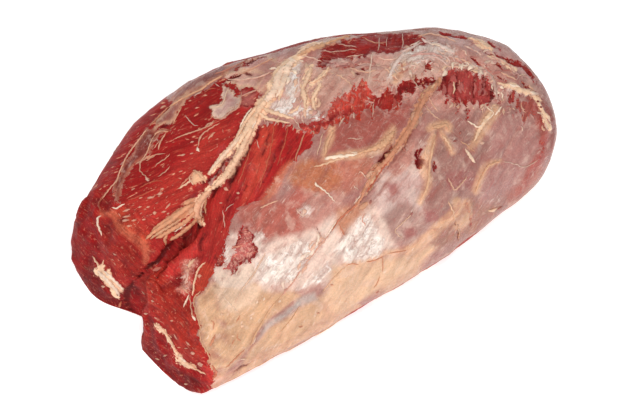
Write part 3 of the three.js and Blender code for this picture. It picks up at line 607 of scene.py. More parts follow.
for colour, high, outline in FAT_PATCHES:
    d = inside(WARP, outline)
    if colour == FAT_WHITE:                         # frothy, not solid
        froth = np.maximum(froth, smooth(-4, 2, d))
        tint(redcol, (208, 140, 120), 0.7 * smooth(-2, 3, d))
        relief += 0.7 * smooth(-2.0, 4.0, d)
        continue
    tint(fatcol, colour, smooth(-2, 0.5, d))
    fat = np.maximum(fat, d)
    relief += high * smooth(-1.0, 3.0, d)
relief += 1.9 * smooth(-5, 4, inside(WARP, [(148, 285), (158, 272), (174, 256), (188, 245), (202, 236), (207, 243), (198, 254), (186, 264), (172, 278), (158, 291)]))
ridge = np.zeros(count)
for colour, high, line in FAT_LINES:
    if colour in (FAT_TAN, FAT_ORANGE, FAT_RUST):             # thickened skin, not a strand
        d, share = near_line(0.5 * WARP + 0.5 * SOFT, line)
        tint(under, colour, 0.8 * smooth(-3.5, 1.5, d))
        tint(redcol, colour, 0.55 * smooth(-2.5, 2.0, d))
        relief += 0.8 * high * (1 - smooth(0.0, 1.5, share))
        continue
    d, share = near_line(WARP, line)
    tint(fatcol, colour, smooth(-2, 0.5, d))
    fat = np.maximum(fat, d)
    ridge = np.maximum(ridge, high * np.clip(1 - share ** 2, 0, 1) ** 0.7)
relief += ridge * (0.85 + 0.3 * noise(P / 3.0 + 5))
for deep, line in SLITS:
    d, share = near_line(WARP, line)
    slit_shade = np.maximum(slit_shade, d)
    relief -= deep * (1 - smooth(0.1, 1.5, share))
for deep, line in WRINKLES:
    d, share = near_line(SOFT, line)
    relief -= deep * (1 - smooth(0.0, 1.4, share)) - 0.5 * deep * bell((share - 1.9) / 0.6)
red, fat, pale, slit_shade = red * MM, fat * MM, pale * MM, slit_shade * MM

# grain: across and along the fibres, millimetres
WAVY = UV + np.stack([4.5 * noise(P / 18.0 + 19) + 0.7 * noise(P / 5.0 + 4), 4.5 * noise(P / 18.0 + 83) + 0.7 * noise(P / 5.0 + 44)], -1)


def turned(deg_up):
    c, s = math.cos(math.radians(deg_up)), math.sin(math.radians(deg_up))
    return np.stack([MM * (WAVY[:, 0] * s + WAVY[:, 1] * c), MM * (WAVY[:, 0] * c - WAVY[:, 1] * s)], -1)


fan = np.stack([np.arctan2(WAVY[:, 1] - 308, WAVY[:, 0] - 192) * 62, MM * np.hypot(WAVY[:, 1] - 308, WAVY[:, 0] - 192)], -1)
muscle_grain = turned(12)
zone = np.zeros(count)


def choose(where, grain, number):
    muscle_grain[where] = grain[where]
    zone[where] = number


top_red = (UV[:, 0] > 300) & (UV[:, 1] < 70)
choose((UV[:, 0] > 330) & ~top_red, turned(78), 1)
choose(far_d > -3, turned(25), 2)
choose(near_d > -3, fan, 3)
choose(cut_face > 0.45, turned(-42), 4)
skin_grain = turned(54)
streaky = np.where(far_d > -3, 1.0, 0.7)
streaky[near_d > -3] = 0.25
streaky[cut_face > 0.45] = 0.3

# ---------------------------------------------------------------- the sides the photograph doesn't show
CHART = np.stack([X + 3 * noise(P / 15.0 + 11), ARC + 2.4 * noise(P / 9.0 + 23) + 1.0 * noise(P / 3.0 + 29)], -1)
HIDDEN_FAT = [(1.3, [(-112, 60, 3), (-92, 66, 6), (-60, 74, 5), (-28, 78, 6), (4, 88, 8), (34, 98, 6), (66, 102, 4), (92, 100, 3)]),
              (1.0, [(4, 88, 5), (24, 76, 4), (52, 66, 4), (84, 62, 2)]), (0.8, [(-60, 74, 4), (-46, 88, 3), (-34, 104, 3), (-20, 114, 1.5)]),
              (0.9, [(34, 98, 4), (44, 112, 4), (58, 124, 3), (78, 130, 2)]), (0.7, [(-100, 44, 2), (-82, 40, 4), (-58, 46, 3), (-40, 56, 2)]),
              (0.6, [(-104, 14, 3), (-62, 22, 5), (-20, 14, 4), (26, 22, 6), (66, 14, 4), (98, 18, 2)]), (0.6, [(26, 22, 4), (40, 36, 4), (62, 42, 3), (88, 40, 2)]),
              (0.5, [(-70, 372, 2), (-30, 366, 4), (14, 374, 5), (56, 362, 4), (90, 366, 2)]), (0.5, [(-20, 14, 3), (-34, 2, 3)])]
HIDDEN_FAT_RED = [(-1, [(-104, 92, 3), (-70, 96, 2)])]
LONG = P * [1 / 34.0, 1 / 15.0, 1 / 15.0]
film = fbm(LONG + 3, 3)
low_near = smooth(296, 322, ARC) * (1 - smooth(352, 372, ARC))
red_h = 10 * (1.5 * film + 0.6 * fbm(LONG * 2.3 + 12, 3) + 0.28 - X / 150.0 - 0.9 * low_near - 0.5 * smooth(70, 110, X))
red_h = np.where(cut_face > 0.3, 12.0, red_h)
fat_h, ridge_h = np.full(count, -20.0), np.zeros(count)
for high, line in HIDDEN_FAT:
    d, share = near_line(CHART, line, True)
    fat_h = np.maximum(fat_h, d)
    ridge_h = np.maximum(ridge_h, high * np.clip(1 - share ** 2, 0, 1) ** 0.7)
sheet = fbm(LONG * 1.5 + 40, 3)
fat_h = np.maximum(fat_h, 8 * (sheet - 0.47))
pale_h = 8 * (fbm(LONG * 1.2 + 9, 3) - 0.34)
# slits of the hidden sides, recessed and painted with shade
slit_shade_h = 3 * (fbm(P * [1 / 30.0, 1 / 5.0, 1 / 5.0] + 70, 2) - 0.60)
blend = fbm(P / 20.0 + 3, 2)
under_h = srgb(MAUVE) + (srgb(SILVER) - srgb(MAUVE)) * smooth(-0.3, 0.5, blend)[:, None]
under_h = under_h + (srgb((186, 104, 90)) - under_h) * (0.2 + 0.5 * smooth(-0.25, 0.45, fbm(P / 17.0 + 90, 2)))[:, None]
beige_share = smooth(280, 320, ARC) * (1 - smooth(385, 400, ARC)) * (1 - smooth(10, 70, X)) + smooth(0.1, 0.5, fbm(P / 26.0 + 60, 2)) * 0.8
under_h = under_h + (srgb(BEIGE) - under_h) * np.clip(beige_share, 0, 1)[:, None]
red_h_col = srgb(DEEP) + (srgb((180, 54, 42)) - srgb(DEEP)) * smooth(-0.4, 0.5, fbm(P / 18.0 + 90, 2))[:, None]
relief_h = ridge_h - 0.4 * smooth(-0.5, 1.5, red_h) - 1.6 * smooth(-0.2, 0.5, slit_shade_h) + 0.35 * smooth(0, 2, pale_h) + 0.5 * smooth(0, 1.2, 8 * (sheet - 0.47))

k = seen
red, fat = red * k + red_h * (1 - k), fat * k + fat_h * (1 - k)
pale, slit_shade = pale * k + pale_h * (1 - k), slit_shade * k + slit_shade_h * (1 - k)
relief = relief * k + relief_h * (1 - k)
under = under * k[:, None] + under_h * (1 - k[:, None])
redcol = redcol * k[:, None] + red_h_col * (1 - k[:, None])
fatcol = fatcol * k[:, None] + srgb((238, 206, 164)) * (1 - k[:, None])
hid = k < 0.5
wave = np.stack([ARC + 4 * noise(P / 15.0 + 19) + noise(P / 5.0 + 4), X], -1)
muscle_grain[hid] = wave[hid]
skin_grain[hid] = wave[hid]
tip = hid & (X > 0) & (S < 0.9)
swirl = np.stack([0.77 * Z - 0.64 * Y + 4 * noise(P / 15.0 + 19), 0.77 * Y + 0.64 * Z], -1)
muscle_grain[tip] = swirl[tip]
skin_grain[tip] = swirl[tip]
froth = froth * k
creamy = creamy * k
streaky = streaky * k + 0.8 * (1 - k)
zone[hid] = 6

# ---------------------------------------------------------------- relief of the flesh
soft3 = lambda v: np.clip(v, 0, 1)
m_red, m_fat = smooth(-0.4, 0.4, red), smooth(-0.4, 0.4, fat)
gr = np.stack([muscle_grain[:, 0], muscle_grain[:, 1], zone * 19], -1)
gs = np.stack([skin_grain[:, 0], skin_grain[:, 1], zone * 0], -1)
fibre = 0.26 * noise(gr * [1 / 2.4, 1 / 22.0, 1]) + 0.24 * noise(gr * [1 / 5.0, 1 / 36.0, 1] + 50)
skin = 0.20 * noise(gs * [1 / 2.8, 1 / 14.0, 1]) + 0.26 * noise(gs * [1 / 7.0, 1 / 26.0, 1] + 9)
lumps = 0.7 * noise(P / 26.0 + 2) + 0.35 * noise(P / 11.0 + 7)
rough = 0.45 * noise(P / 3.6 + 13) + 0.5 * noise(P / 8.0 + 5)
folds = smooth(-3, 2, pale) * (0.42 - 0.9 * np.abs(noise(gs * [1 / 3.4, 1 / 15.0, 1] + 33)) - 0.5 * np.abs(noise(gs * [1 / 1.9, 1 / 9.0, 1] + 61)))
relief = relief + lumps + (1 - m_fat) * (1 - m_red) * folds + froth * 0.5 * noise(P / 2.0 + 8) + (1 - m_fat) * (m_red * (1 - 0.5 * cut_face) * fibre + (1 - m_red) * skin) + cut_face * rough + smooth(0.05, 0.5, cut_face) * (0.9 * noise(P / 6.5 + 91) + 0.8 * noise(P / 12.0 + 57)) + m_fat * 0.22 * noise(P / 2.6 + 70)
base = 1 - smooth(0.3, 7.0, Z)
relief = relief * (1 - base) + base * 0.5 * np.minimum(relief, 0)
Q = P + N * relief[:, None]


def around(values, reach):
    """Mean over the neighbours within a reach of grid cells."""
    g = np.concatenate([np.repeat(values[:1], COLUMNS)[None], values[1:-1].reshape(rings - 2, COLUMNS), np.repeat(values[-1:], COLUMNS)[None]])
    for _ in range(reach):
        g = (np.roll(g, 1, 1) + g + np.roll(g, -1, 1)) / 3
        pad = np.concatenate([g[:1], g, g[-1:]])
        g = (pad[:-2] + pad[1:-1] + pad[2:]) / 3
    return flat(g)


# painted shade and light: hollows are painted darker towards a shade tone and ridges lighter, by the relief against its
# surroundings
crease_shade_ridge_light = np.clip(relief - around(relief, 5), -0.9, 0.9) + 0.5 * np.clip(relief - around(relief, 16), -1.2, 1.2)
for layer, shade_tone, share in ((under, (158, 92, 80), 0.75), (redcol, (104, 14, 18), 0.8), (fatcol, (188, 112, 82), 0.95)):
    w = np.clip(-crease_shade_ridge_light * share, 0, 0.8)
    layer[:] = (layer * (1 - w[:, None]) + srgb(shade_tone) * w[:, None]) * (1 + 0.16 * np.clip(crease_shade_ridge_light, 0, 1))[:, None]
Q[:, 2] = np.maximum(Q[:, 2], 0)


def grid_faces():
    """Quads between the rings; the first and last rings are closed at a single point each."""
    n, faces, uv = COLUMNS, [], []
    u = np.concatenate([arc, [arc[-1] + np.linalg.norm(P0[150, 0] - P0[150, -1])]])
    u = 0.004 + 0.992 * u / u[-1]
    v = 0.004 + 0.992 * ring_run / ring_run[-1]
    for j in range(n):
        k = (j + 1) % n
        faces.append((0, 1 + k, 1 + j))
        uv += [((u[j] + u[j + 1]) / 2, v[0]), (u[j + 1], v[1]), (u[j], v[1])]
    for i in range(1, rings - 2):
        a, b = 1 + (i - 1) * n, 1 + i * n
        for j in range(n):
            k = (j + 1) % n
            faces.append((a + j, a + k, b + k, b + j))
            uv += [(u[j], v[i]), (u[j + 1], v[i]), (u[j + 1], v[i + 1]), (u[j], v[i + 1])]
    a, last = 1 + (rings - 3) * n, 1 + (rings - 2) * n
    for j in range(n):
        k = (j + 1) % n
        faces.append((last, a + j, a + k))
        uv += [((u[j] + u[j + 1]) / 2, v[-1]), (u[j], v[-2]), (u[j + 1], v[-2])]
    return faces, np.array(uv)


faces, face_uv = grid_faces()
probe = faces[len(faces) // 2]
turn_way = np.dot(np.cross(Q[probe[1]] - Q[probe[0]], Q[probe[2]] - Q[probe[0]]), N[probe[0]])
if turn_way < 0:
    sizes = [len(f) for f in faces]
    faces = [f[::-1] for f in faces]
    pos, order = 0, []
    for s in sizes:
        order += list(range(pos + s - 1, pos - 1, -1))
        pos += s
    face_uv = face_uv[order]


def make(name, verts, polys, material, uv=None):
    me = bpy.data.meshes.new(name)
    me.from_pydata((np.asarray(verts) * 0.001).tolist(), [], polys)
    me.update()
    me.shade_smooth() if hasattr(me, "shade_smooth") else me.polygons.foreach_set("use_smooth", [True] * len(me.polygons))
    if uv is not None:
        layer = me.uv_layers.new(name="OFBake")
        layer.data.foreach_set("uv", np.asarray(uv, np.float32).ravel())
    me.materials.append(material)
    ob = bpy.data.objects.new(name, me)
    bpy.context.scene.collection.objects.link(ob)
    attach(ob, "root")
    return ob


def colours(me, name, values):
    at = me.attributes.new(name, "FLOAT_COLOR", "POINT")
    at.data.foreach_set("color", np.concatenate([values, np.ones((len(values), 1))], 1).astype(np.float32).ravel())


def vectors(me, name, values):
    at = me.attributes.new(name, "FLOAT_VECTOR", "POINT")
    at.data.foreach_set("vector", np.asarray(values, np.float32).ravel())


# ---------------------------------------------------------------- materials
class Nodes:
    def __init__(self, name):
        self.mat = bpy.data.materials.new(name)
        self.mat.use_nodes = True
        self.tree = self.mat.node_tree
        self.shader = self.tree.nodes["Principled BSDF"]

    def put(self, socket, value):
        if isinstance(value, bpy.types.NodeSocket):
            self.tree.links.new(value, socket)
        elif value is not None:
            if isinstance(value, tuple) and len(value) == 3 and socket.type == "RGBA":
                value = value + (1.0,)
            socket.default_value = value

    def maths(self, op, a, b=None, clamp=False):
        n = self.tree.nodes.new("ShaderNodeMath")
        n.operation, n.use_clamp = op, clamp
        self.put(n.inputs[0], a)
        if b is not None:
            self.put(n.inputs[1], b)
        return n.outputs[0]

    def add(self, a, b):
        return self.maths("ADD", a, b)

    def mul(self, a, b):
        return self.maths("MULTIPLY", a, b)

    def ramp(self, v, a, b, c=0.0, d=1.0):
        n = self.tree.nodes.new("ShaderNodeMapRange")
        n.interpolation_type = "SMOOTHSTEP"
        for s, val in zip(n.inputs[:5], (v, a, b, c, d)):
            self.put(s, val)
        return n.outputs[0]

    def mix(self, f, a, b, kind="MIX"):
        n = self.tree.nodes.new("ShaderNodeMix")
        n.data_type, n.blend_type = "RGBA", kind
        self.put(n.inputs[0], f)
        self.put(n.inputs[6], a)
        self.put(n.inputs[7], b)
        return n.outputs[2]

    def blend(self, f, a, b):
        n = self.tree.nodes.new("ShaderNodeMix")
        n.data_type = "FLOAT"
        self.put(n.inputs[0], f)
        self.put(n.inputs[2], a)
        self.put(n.inputs[3], b)
        return n.outputs[0]

    def attribute(self, name, out="Vector"):
        n = self.tree.nodes.new("ShaderNodeAttribute")
        n.attribute_name = name
        return n.outputs[out]

    def parts(self, v):
        n = self.tree.nodes.new("ShaderNodeSeparateXYZ")
        self.put(n.inputs[0], v)
        return n.outputs[0], n.outputs[1], n.outputs[2]

    def scaled(self, v, k):
        n = self.tree.nodes.new("ShaderNodeVectorMath")
        n.operation = "MULTIPLY"
        self.put(n.inputs[0], v)
        n.inputs[1].default_value = k
        return n.outputs[0]

    def noise(self, v, scale=1.0, detail=2.0, rough=0.5, distort=0.0):
        n = self.tree.nodes.new("ShaderNodeTexNoise")
        self.put(n.inputs["Vector"], v)
        n.inputs["Scale"].default_value = scale
        n.inputs["Detail"].default_value = detail
        n.inputs["Roughness"].default_value = rough
        n.inputs["Distortion"].default_value = distort
        return n.outputs[0]

    def place(self):
        return self.tree.nodes.new("ShaderNodeTexCoord").outputs["Object"]

    def bump(self, height, strength, distance):
        n = self.tree.nodes.new("ShaderNodeBump")
        n.inputs["Strength"].default_value = strength
        n.inputs["Distance"].default_value = distance
        self.put(n.inputs["Height"], height)
        return n.outputs[0]

    def value(self, colour, v):
        """The colour made lighter or darker by a factor."""
        n = self.tree.nodes.new("ShaderNodeVectorMath")
        n.operation = "SCALE"
        self.put(n.inputs[0], colour)
        self.put(n.inputs["Scale"], v)
        return n.outputs[0]


def lin(r, g, b):
    return tuple(float(v) for v in srgb((r, g, b)))


def wet(n, roughness, normal, colour, sss=0.06, coat=0.05):
    s = n.shader
    n.put(s.inputs["Base Color"], colour)
    n.put(s.inputs["Roughness"], roughness)
    n.put(s.inputs["Normal"], normal)
    s.inputs["IOR"].default_value = 1.33
    s.inputs["Specular IOR Level"].default_value = 0.22
    s.inputs["Coat Weight"].default_value = coat
    s.inputs["Coat Roughness"].default_value = 0.12
    s.inputs["Subsurface Weight"].default_value = sss
    s.inputs["Subsurface Radius"].default_value = (1.0, 0.4, 0.3)
    s.inputs["Subsurface Scale"].default_value = 0.003


def meat_material():
    n = Nodes("meat")
    place = n.place()
    at_r, at_s = n.attribute("muscle_grain"), n.attribute("skin_grain")
    kr, kf, kp = n.parts(n.attribute("kinds"))
    kd, kc, kz = n.parts(n.attribute("more"))
    thin, streaky, _ = n.parts(n.attribute("extra"))
    thin = n.maths("SUBTRACT", 1.0, n.mul(thin, 0.8))
    blotch = n.noise(place, 75, 2)
    mid = n.noise(place, 330, 2)
    fine = n.noise(place, 1100, 2, 0.6)
    bundle = n.noise(n.scaled(at_r, (0.55, 0.05, 1)), 1.0, 2, 0.6)
    thread = n.noise(n.scaled(at_r, (1.7, 0.11, 1)), 1.0, 3, 0.65)
    hairs = n.noise(n.scaled(at_r, (0.9, 0.16, 1)), 1.0, 3, 0.6, 0.4)
    crease = n.noise(n.scaled(at_s, (0.34, 0.05, 1)), 1.0, 3, 0.6)
    strand = n.noise(n.scaled(at_s, (1.3, 0.16, 1)), 1.0, 3, 0.65, 0.3)
    veins = n.noise(place, 60, 3, 0.55, 0.6)
    # muscle
    muscle = n.value(n.attribute("redcol", "Color"), n.ramp(bundle, 0.25, 0.75, 0.80, 1.22))
    muscle = n.mix(n.ramp(thread, 0.52, 0.72, 0, 0.34), muscle, lin(208, 98, 72))
    muscle = n.mix(n.ramp(thread, 0.44, 0.30, 0, 0.42), muscle, lin(116, 18, 20))
    muscle = n.mix(n.mul(n.mul(n.ramp(hairs, 0.57, 0.67, 0, 0.78), n.ramp(mid, 0.44, 0.56)), streaky), muscle, lin(236, 168, 134))
    speck = n.noise(place, 760, 2, 0.6)
    muscle = n.mix(n.mul(n.mul(n.ramp(speck, 0.58, 0.70, 0, 0.55), n.ramp(mid, 0.60, 0.42)), kc), muscle, lin(214, 118, 96))
    muscle = n.mix(n.mul(n.ramp(mid, 0.56, 0.70, 0, 0.5), kc), muscle, lin(116, 24, 26))
    muscle = n.value(muscle, n.ramp(fine, 0.3, 0.7, 0.84, 1.13))
    # skin
    skin = n.value(n.attribute("under", "Color"), n.ramp(crease, 0.25, 0.75, 0.82, 1.18))
    skin = n.mix(n.mul(n.ramp(blotch, 0.52, 0.72, 0, 0.30), thin), skin, lin(164, 98, 92))
    patchy = n.noise(place, 150, 3, 0.6, 0.5)
    web = n.noise(place, 110, 4, 0.62, 1.1)
    skin = n.mix(n.mul(n.ramp(patchy, 0.52, 0.68, 0, 0.42), thin), skin, lin(156, 84, 76))
    skin = n.mix(n.ramp(patchy, 0.48, 0.30, 0, 0.34), skin, lin(228, 194, 176))
    skin = n.mix(n.mul(n.ramp(strand, 0.54, 0.72, 0, 0.55), n.ramp(web, 0.46, 0.62)), skin, lin(240, 214, 198))
    skin = n.mix(n.mul(n.mul(n.ramp(strand, 0.42, 0.30, 0, 0.45), thin), n.ramp(web, 0.54, 0.40)), skin, lin(148, 78, 70))
    skin = n.mix(n.ramp(n.maths("ABSOLUTE", n.add(web, -0.5)), 0.022, 0.0, 0, 0.12), skin, lin(238, 208, 188))
    skin = n.mix(n.ramp(n.maths("ABSOLUTE", n.add(veins, -0.5)), 0.012, 0.0, 0, 0.16), skin, lin(166, 76, 60))
    skin = n.value(skin, n.ramp(fine, 0.3, 0.7, 0.92, 1.07))
    # the pearly membrane: its own whitened colour, with painted sheen
    pearl_and_sheen = n.mix(n.ramp(crease, 0.56, 0.38, 0, 0.75), n.value(n.mix(0.72, n.attribute("under", "Color"), lin(248, 234, 222)), n.ramp(strand, 0.3, 0.7, 0.88, 1.06)), lin(196, 162, 150))
    crinkle = n.noise(n.scaled(at_s, (0.30, 0.16, 1)), 1.0, 4, 0.62, 1.5)
    crack = n.ramp(n.maths("ABSOLUTE", n.add(crinkle, -0.5)), 0.030, 0.004, 0, 1.0)
    crack_2 = n.ramp(n.maths("ABSOLUTE", n.add(crinkle, -0.58)), 0.022, 0.002, 0, 1.0)
    pearl_and_sheen = n.mix(n.mul(n.maths("MAXIMUM", crack, crack_2), n.ramp(mid, 0.42, 0.60, 0.15, 0.62)), pearl_and_sheen, lin(178, 122, 104))
    # painted highlight: near-white spots on the pearly membrane
    pearl_and_sheen = n.mix(n.ramp(n.noise(place, 210, 3, 0.65, 0.9), 0.54, 0.66, 0, 0.75), pearl_and_sheen, lin(252, 242, 234))
    pale = n.ramp(n.add(kp, n.add(n.mul(n.add(mid, -0.5), 4.0), n.mul(n.add(strand, -0.5), 5.0))), -1.2, 1.8)
    skin = n.mix(pale, skin, pearl_and_sheen)
    # fat
    fat_tone = n.value(n.attribute("fatcol", "Color"), n.ramp(mid, 0.25, 0.75, 0.86, 1.12))
    fat_tone = n.mix(n.ramp(fine, 0.44, 0.30, 0, 0.45), fat_tone, lin(208, 140, 100))
    fat_tone = n.mix(n.ramp(blotch, 0.55, 0.72, 0, 0.25), fat_tone, lin(214, 130, 104))
    is_red = n.ramp(n.add(kr, n.add(n.mul(n.add(fine, -0.5), 3.4), n.mul(n.add(mid, -0.5), 4.2))), -0.30, 0.30)
    is_fat = n.ramp(n.add(kf, n.add(n.mul(n.add(fine, -0.5), 2.4), n.mul(n.add(mid, -0.5), 2.2))), -0.35, 0.35)
    is_slit_shade = n.ramp(n.add(kd, n.add(n.mul(n.add(fine, -0.5), 1.6), -0.15)), -0.3, 0.5)
    foam = n.mul(n.ramp(n.noise(place, 620, 3, 0.7, 0.8), 0.47, 0.62), n.ramp(n.add(kz, n.mul(n.add(mid, -0.5), 1.6)), 0.25, 0.75))
    tone = n.mix(is_red, skin, muscle)
    tone = n.mix(is_fat, tone, fat_tone)
    tone = n.mix(n.mul(foam, 0.62), tone, lin(228, 168, 150))
    # painted shade: the slits turn near-black
    tone = n.mix(n.mul(is_slit_shade, 0.88), tone, lin(94, 16, 17))
    rough = n.blend(pale, 0.30, 0.24)
    rough = n.blend(is_red, rough, 0.56)
    rough = n.blend(is_fat, rough, 0.42)
    rough = n.add(rough, n.mul(n.mul(kc, is_red), 0.16))
    rough = n.add(rough, n.add(n.mul(n.add(fine, -0.5), 0.16), n.ramp(patchy, 0.42, 0.60, 0.10, -0.10)))
    relief = n.mul(thread, n.mul(is_red, 0.9))
    relief = n.add(relief, n.mul(strand, n.maths("SUBTRACT", 0.75, n.mul(is_red, 0.75))))
    relief = n.add(relief, n.mul(fine, 0.45))
    relief = n.add(relief, n.mul(n.mul(crack, pale), -0.9))
    relief = n.add(relief, n.mul(n.mul(web, 1.2), n.maths("SUBTRACT", 1.0, is_red)))
    relief = n.add(relief, n.mul(mid, n.add(0.2, n.mul(kc, 0.8))))
    wet(n, rough, n.bump(relief, 0.55, 0.0007), tone)
    return n.mat


def strand_material():
    n = Nodes("strand")
    place = n.place()
    fine, mid = n.noise(place, 1300, 2, 0.6), n.noise(place, 380, 2)
    tone = n.value(n.attribute("tint", "Color"), n.ramp(mid, 0.3, 0.7, 0.86, 1.1))
    tone = n.mix(n.ramp(fine, 0.42, 0.30, 0, 0.4), tone, lin(204, 128, 96))
    rough = n.add(0.32, n.mul(n.add(fine, -0.5), 0.2))
    wet(n, rough, n.bump(n.add(fine, mid), 0.5, 0.0005), tone)
    return n.mat


meat_mat, strand_mat = meat_material(), strand_material()
body = make("meat_body", Q, faces, meat_mat, face_uv)
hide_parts("heel_muscle")
colours(body.data, "under", under)
colours(body.data, "redcol", redcol)
colours(body.data, "fatcol", fatcol)
vectors(body.data, "kinds", np.stack([red, fat, pale], -1))
vectors(body.data, "more", np.stack([slit_shade, cut_face, froth], -1))
vectors(body.data, "extra", np.stack([creamy, streaky, creamy], -1))
vectors(body.data, "muscle_grain", gr)
vectors(body.data, "skin_grain", gs)

# ---------------------------------------------------------------- strands, curls and flecks laid on the body
tree = BVHTree.FromPolygons([tuple(v) for v in Q], faces)
eye = Vector(EYE)
grid_q = np.concatenate([np.repeat(Q[:1], COLUMNS, 0)[None], Q[1:-1].reshape(rings - 2, COLUMNS, 3), np.repeat(Q[-1:], COLUMNS, 0)[None]])
grid_n = grid_normals(grid_q)


def from_picture(x, y):
    hit, normal, _, _ = tree.ray_cast(eye, Vector(sight(x, y)))
    if hit is None:
        return None
    return np.array(hit), np.array(normal)


ring_of_x = np.arange(rings)


def from_chart(x, a):
    """Point of the body at x along the length and a millimetres round the middle section."""
    j = int(np.clip(np.searchsorted(arc, a % arc[-1]), 0, COLUMNS - 1))
    col = grid_q[RINGS_CUT:, j, 0]
    i = RINGS_CUT + int(np.argmin(np.abs(col - x)))
    return grid_q[i, j].copy(), grid_n[i, j].copy()


# shade tones painted on the lower flanks of the strands
STRAND_SHADE, STRAND_SHADE_FAT = srgb((176, 92, 66)), srgb((206, 142, 108))


class Bits:
    def __init__(self):
        self.verts, self.faces, self.tints, self.uvs, self.tubes = [], [], [], [], []

    def tube(self, path, normals, widths, high, colour, sides=8, proud=0.25):
        """A closed strand of oval section, partly sunk in the body."""
        path, normals, widths = np.array(path), np.array(normals), np.array(widths, float)
        n = len(path)
        for _ in range(2):
            pad = np.concatenate([normals[:1], normals, normals[-1:]])
            normals = pad[:-2] + pad[1:-1] * 2 + pad[2:]
            normals /= np.linalg.norm(normals, axis=1)[:, None]
        along = np.gradient(path, axis=0)
        along /= np.maximum(1e-9, np.linalg.norm(along, axis=1))[:, None]
        side = np.cross(along, normals)
        side /= np.maximum(1e-9, np.linalg.norm(side, axis=1))[:, None]
        t = np.linspace(0, 1, n)
        taper = np.clip(np.minimum(t, 1 - t) * n / 2.2, 0.12, 1) ** 0.6
        w, h = widths / 2 * taper, high * taper
        start, low = len(self.verts), STRAND_SHADE if high < 0.75 else STRAND_SHADE_FAT
        q = 2 * math.pi * np.arange(sides) / sides
        for i in range(n):
            c = path[i] + normals[i] * h[i] * proud
            for a in q:
                p = c + side[i] * w[i] * math.cos(a) + normals[i] * h[i] * math.sin(a)
                p[2] = max(p[2], 0.0)
                self.verts.append(p)
                # painted shade: each ring darkens towards the shade tone on its underside and flanks
                edge = 0.5 * (0.5 - 0.5 * math.sin(a))
                self.tints.append(colour * (1 - edge) + low * edge)
        first, last = len(self.verts), len(self.verts) + 1
        self.verts += [path[0] + normals[0] * h[0] * proud, path[-1] + normals[-1] * h[-1] * proud]
        self.tints += [colour, colour]
        new = []
        for i in range(n - 1):
            for k in range(sides):
                m = (k + 1) % sides
                a, b = start + i * sides, start + (i + 1) * sides
                new.append(((a + k, a + m, b + m, b + k), [(i, k), (i, k + 1), (i + 1, k + 1), (i + 1, k)]))
        for k in range(sides):
            m = (k + 1) % sides
            new.append(((first, start + m, start + k), [(0, k + 0.5), (0, k + 1), (0, k)]))
            e = start + (n - 1) * sides
            new.append(((last, e + k, e + m), [(n - 1, k + 0.5), (n - 1, k), (n - 1, k + 1)]))
        self.tubes.append((new, n - 1, sides))

    def build(self, name):
        cells = max(1, math.ceil(math.sqrt(len(self.tubes))))
        faces, uv = [], []
        for c, (new, n, sides) in enumerate(self.tubes):
            ox, oy = (c % cells) / cells, (c // cells) / cells
            for f, corner in new:
                faces.append(f)
                uv += [(ox + (0.08 + 0.84 * a / max(n, 1)) / cells, oy + (0.08 + 0.84 * b / sides) / cells) for a, b in corner]
        ob = make(name, np.array(self.verts), faces, strand_mat, uv)
        colours(ob.data, "tint", np.array(self.tints))
        return ob


def lay(bits, colour, high, line, proud=0.25, sides=8, wander=0.35, pitch=1.3):
    ln = spline([p if len(p) == 3 else (p[0], p[1], 2.0) for p in line], pitch)
    pts, nor, wid = [], [], []
    for i, (x, y, w) in enumerate(ln):
        got = from_picture(x + wander * math.sin(0.9 * i + x), y + wander * math.cos(0.7 * i + y))
        if got is None:
            continue
        if pts and np.linalg.norm(got[0] - pts[-1]) > 5:
            break
        pts.append(got[0]); nor.append(got[1]); wid.append(w * MM * (0.82 if high < 0.46 else 0.94) * (1 + 0.22 * math.sin(1.1 * i + y) + 0.12 * math.sin(2.9 * i + x)))
    if len(pts) >= 3:
        bits.tube(pts, nor, wid, high, local_tone(pts[len(pts) // 2], colour, high), sides, proud)


def local_tone(p, colour, high):
    """Thin strands let some of the tone under them through."""
    i = int(np.argmin(((Q - p) ** 2).sum(1)))
    share = 0.48 if high < 0.46 else 0.10
    return srgb(colour) * (1 - share) + (redcol[i] if red[i] > 0 else under[i]) * share


def lay_chart(bits, colour, high, line, proud=0.2, sides=6, pitch=1.2):
    ln = spline(line, pitch)
    pts, nor, wid = [], [], []
    for x, a, w in ln:
        p, m = from_chart(x, a)
        if p[2] < 1.2 or (pts and np.linalg.norm(p - pts[-1]) > 4):
            continue
        pts.append(p); nor.append(m); wid.append(w)
    if len(pts) >= 3:
        bits.tube(pts, nor, wid, high, local_tone(pts[len(pts) // 2], colour, high), sides, proud)

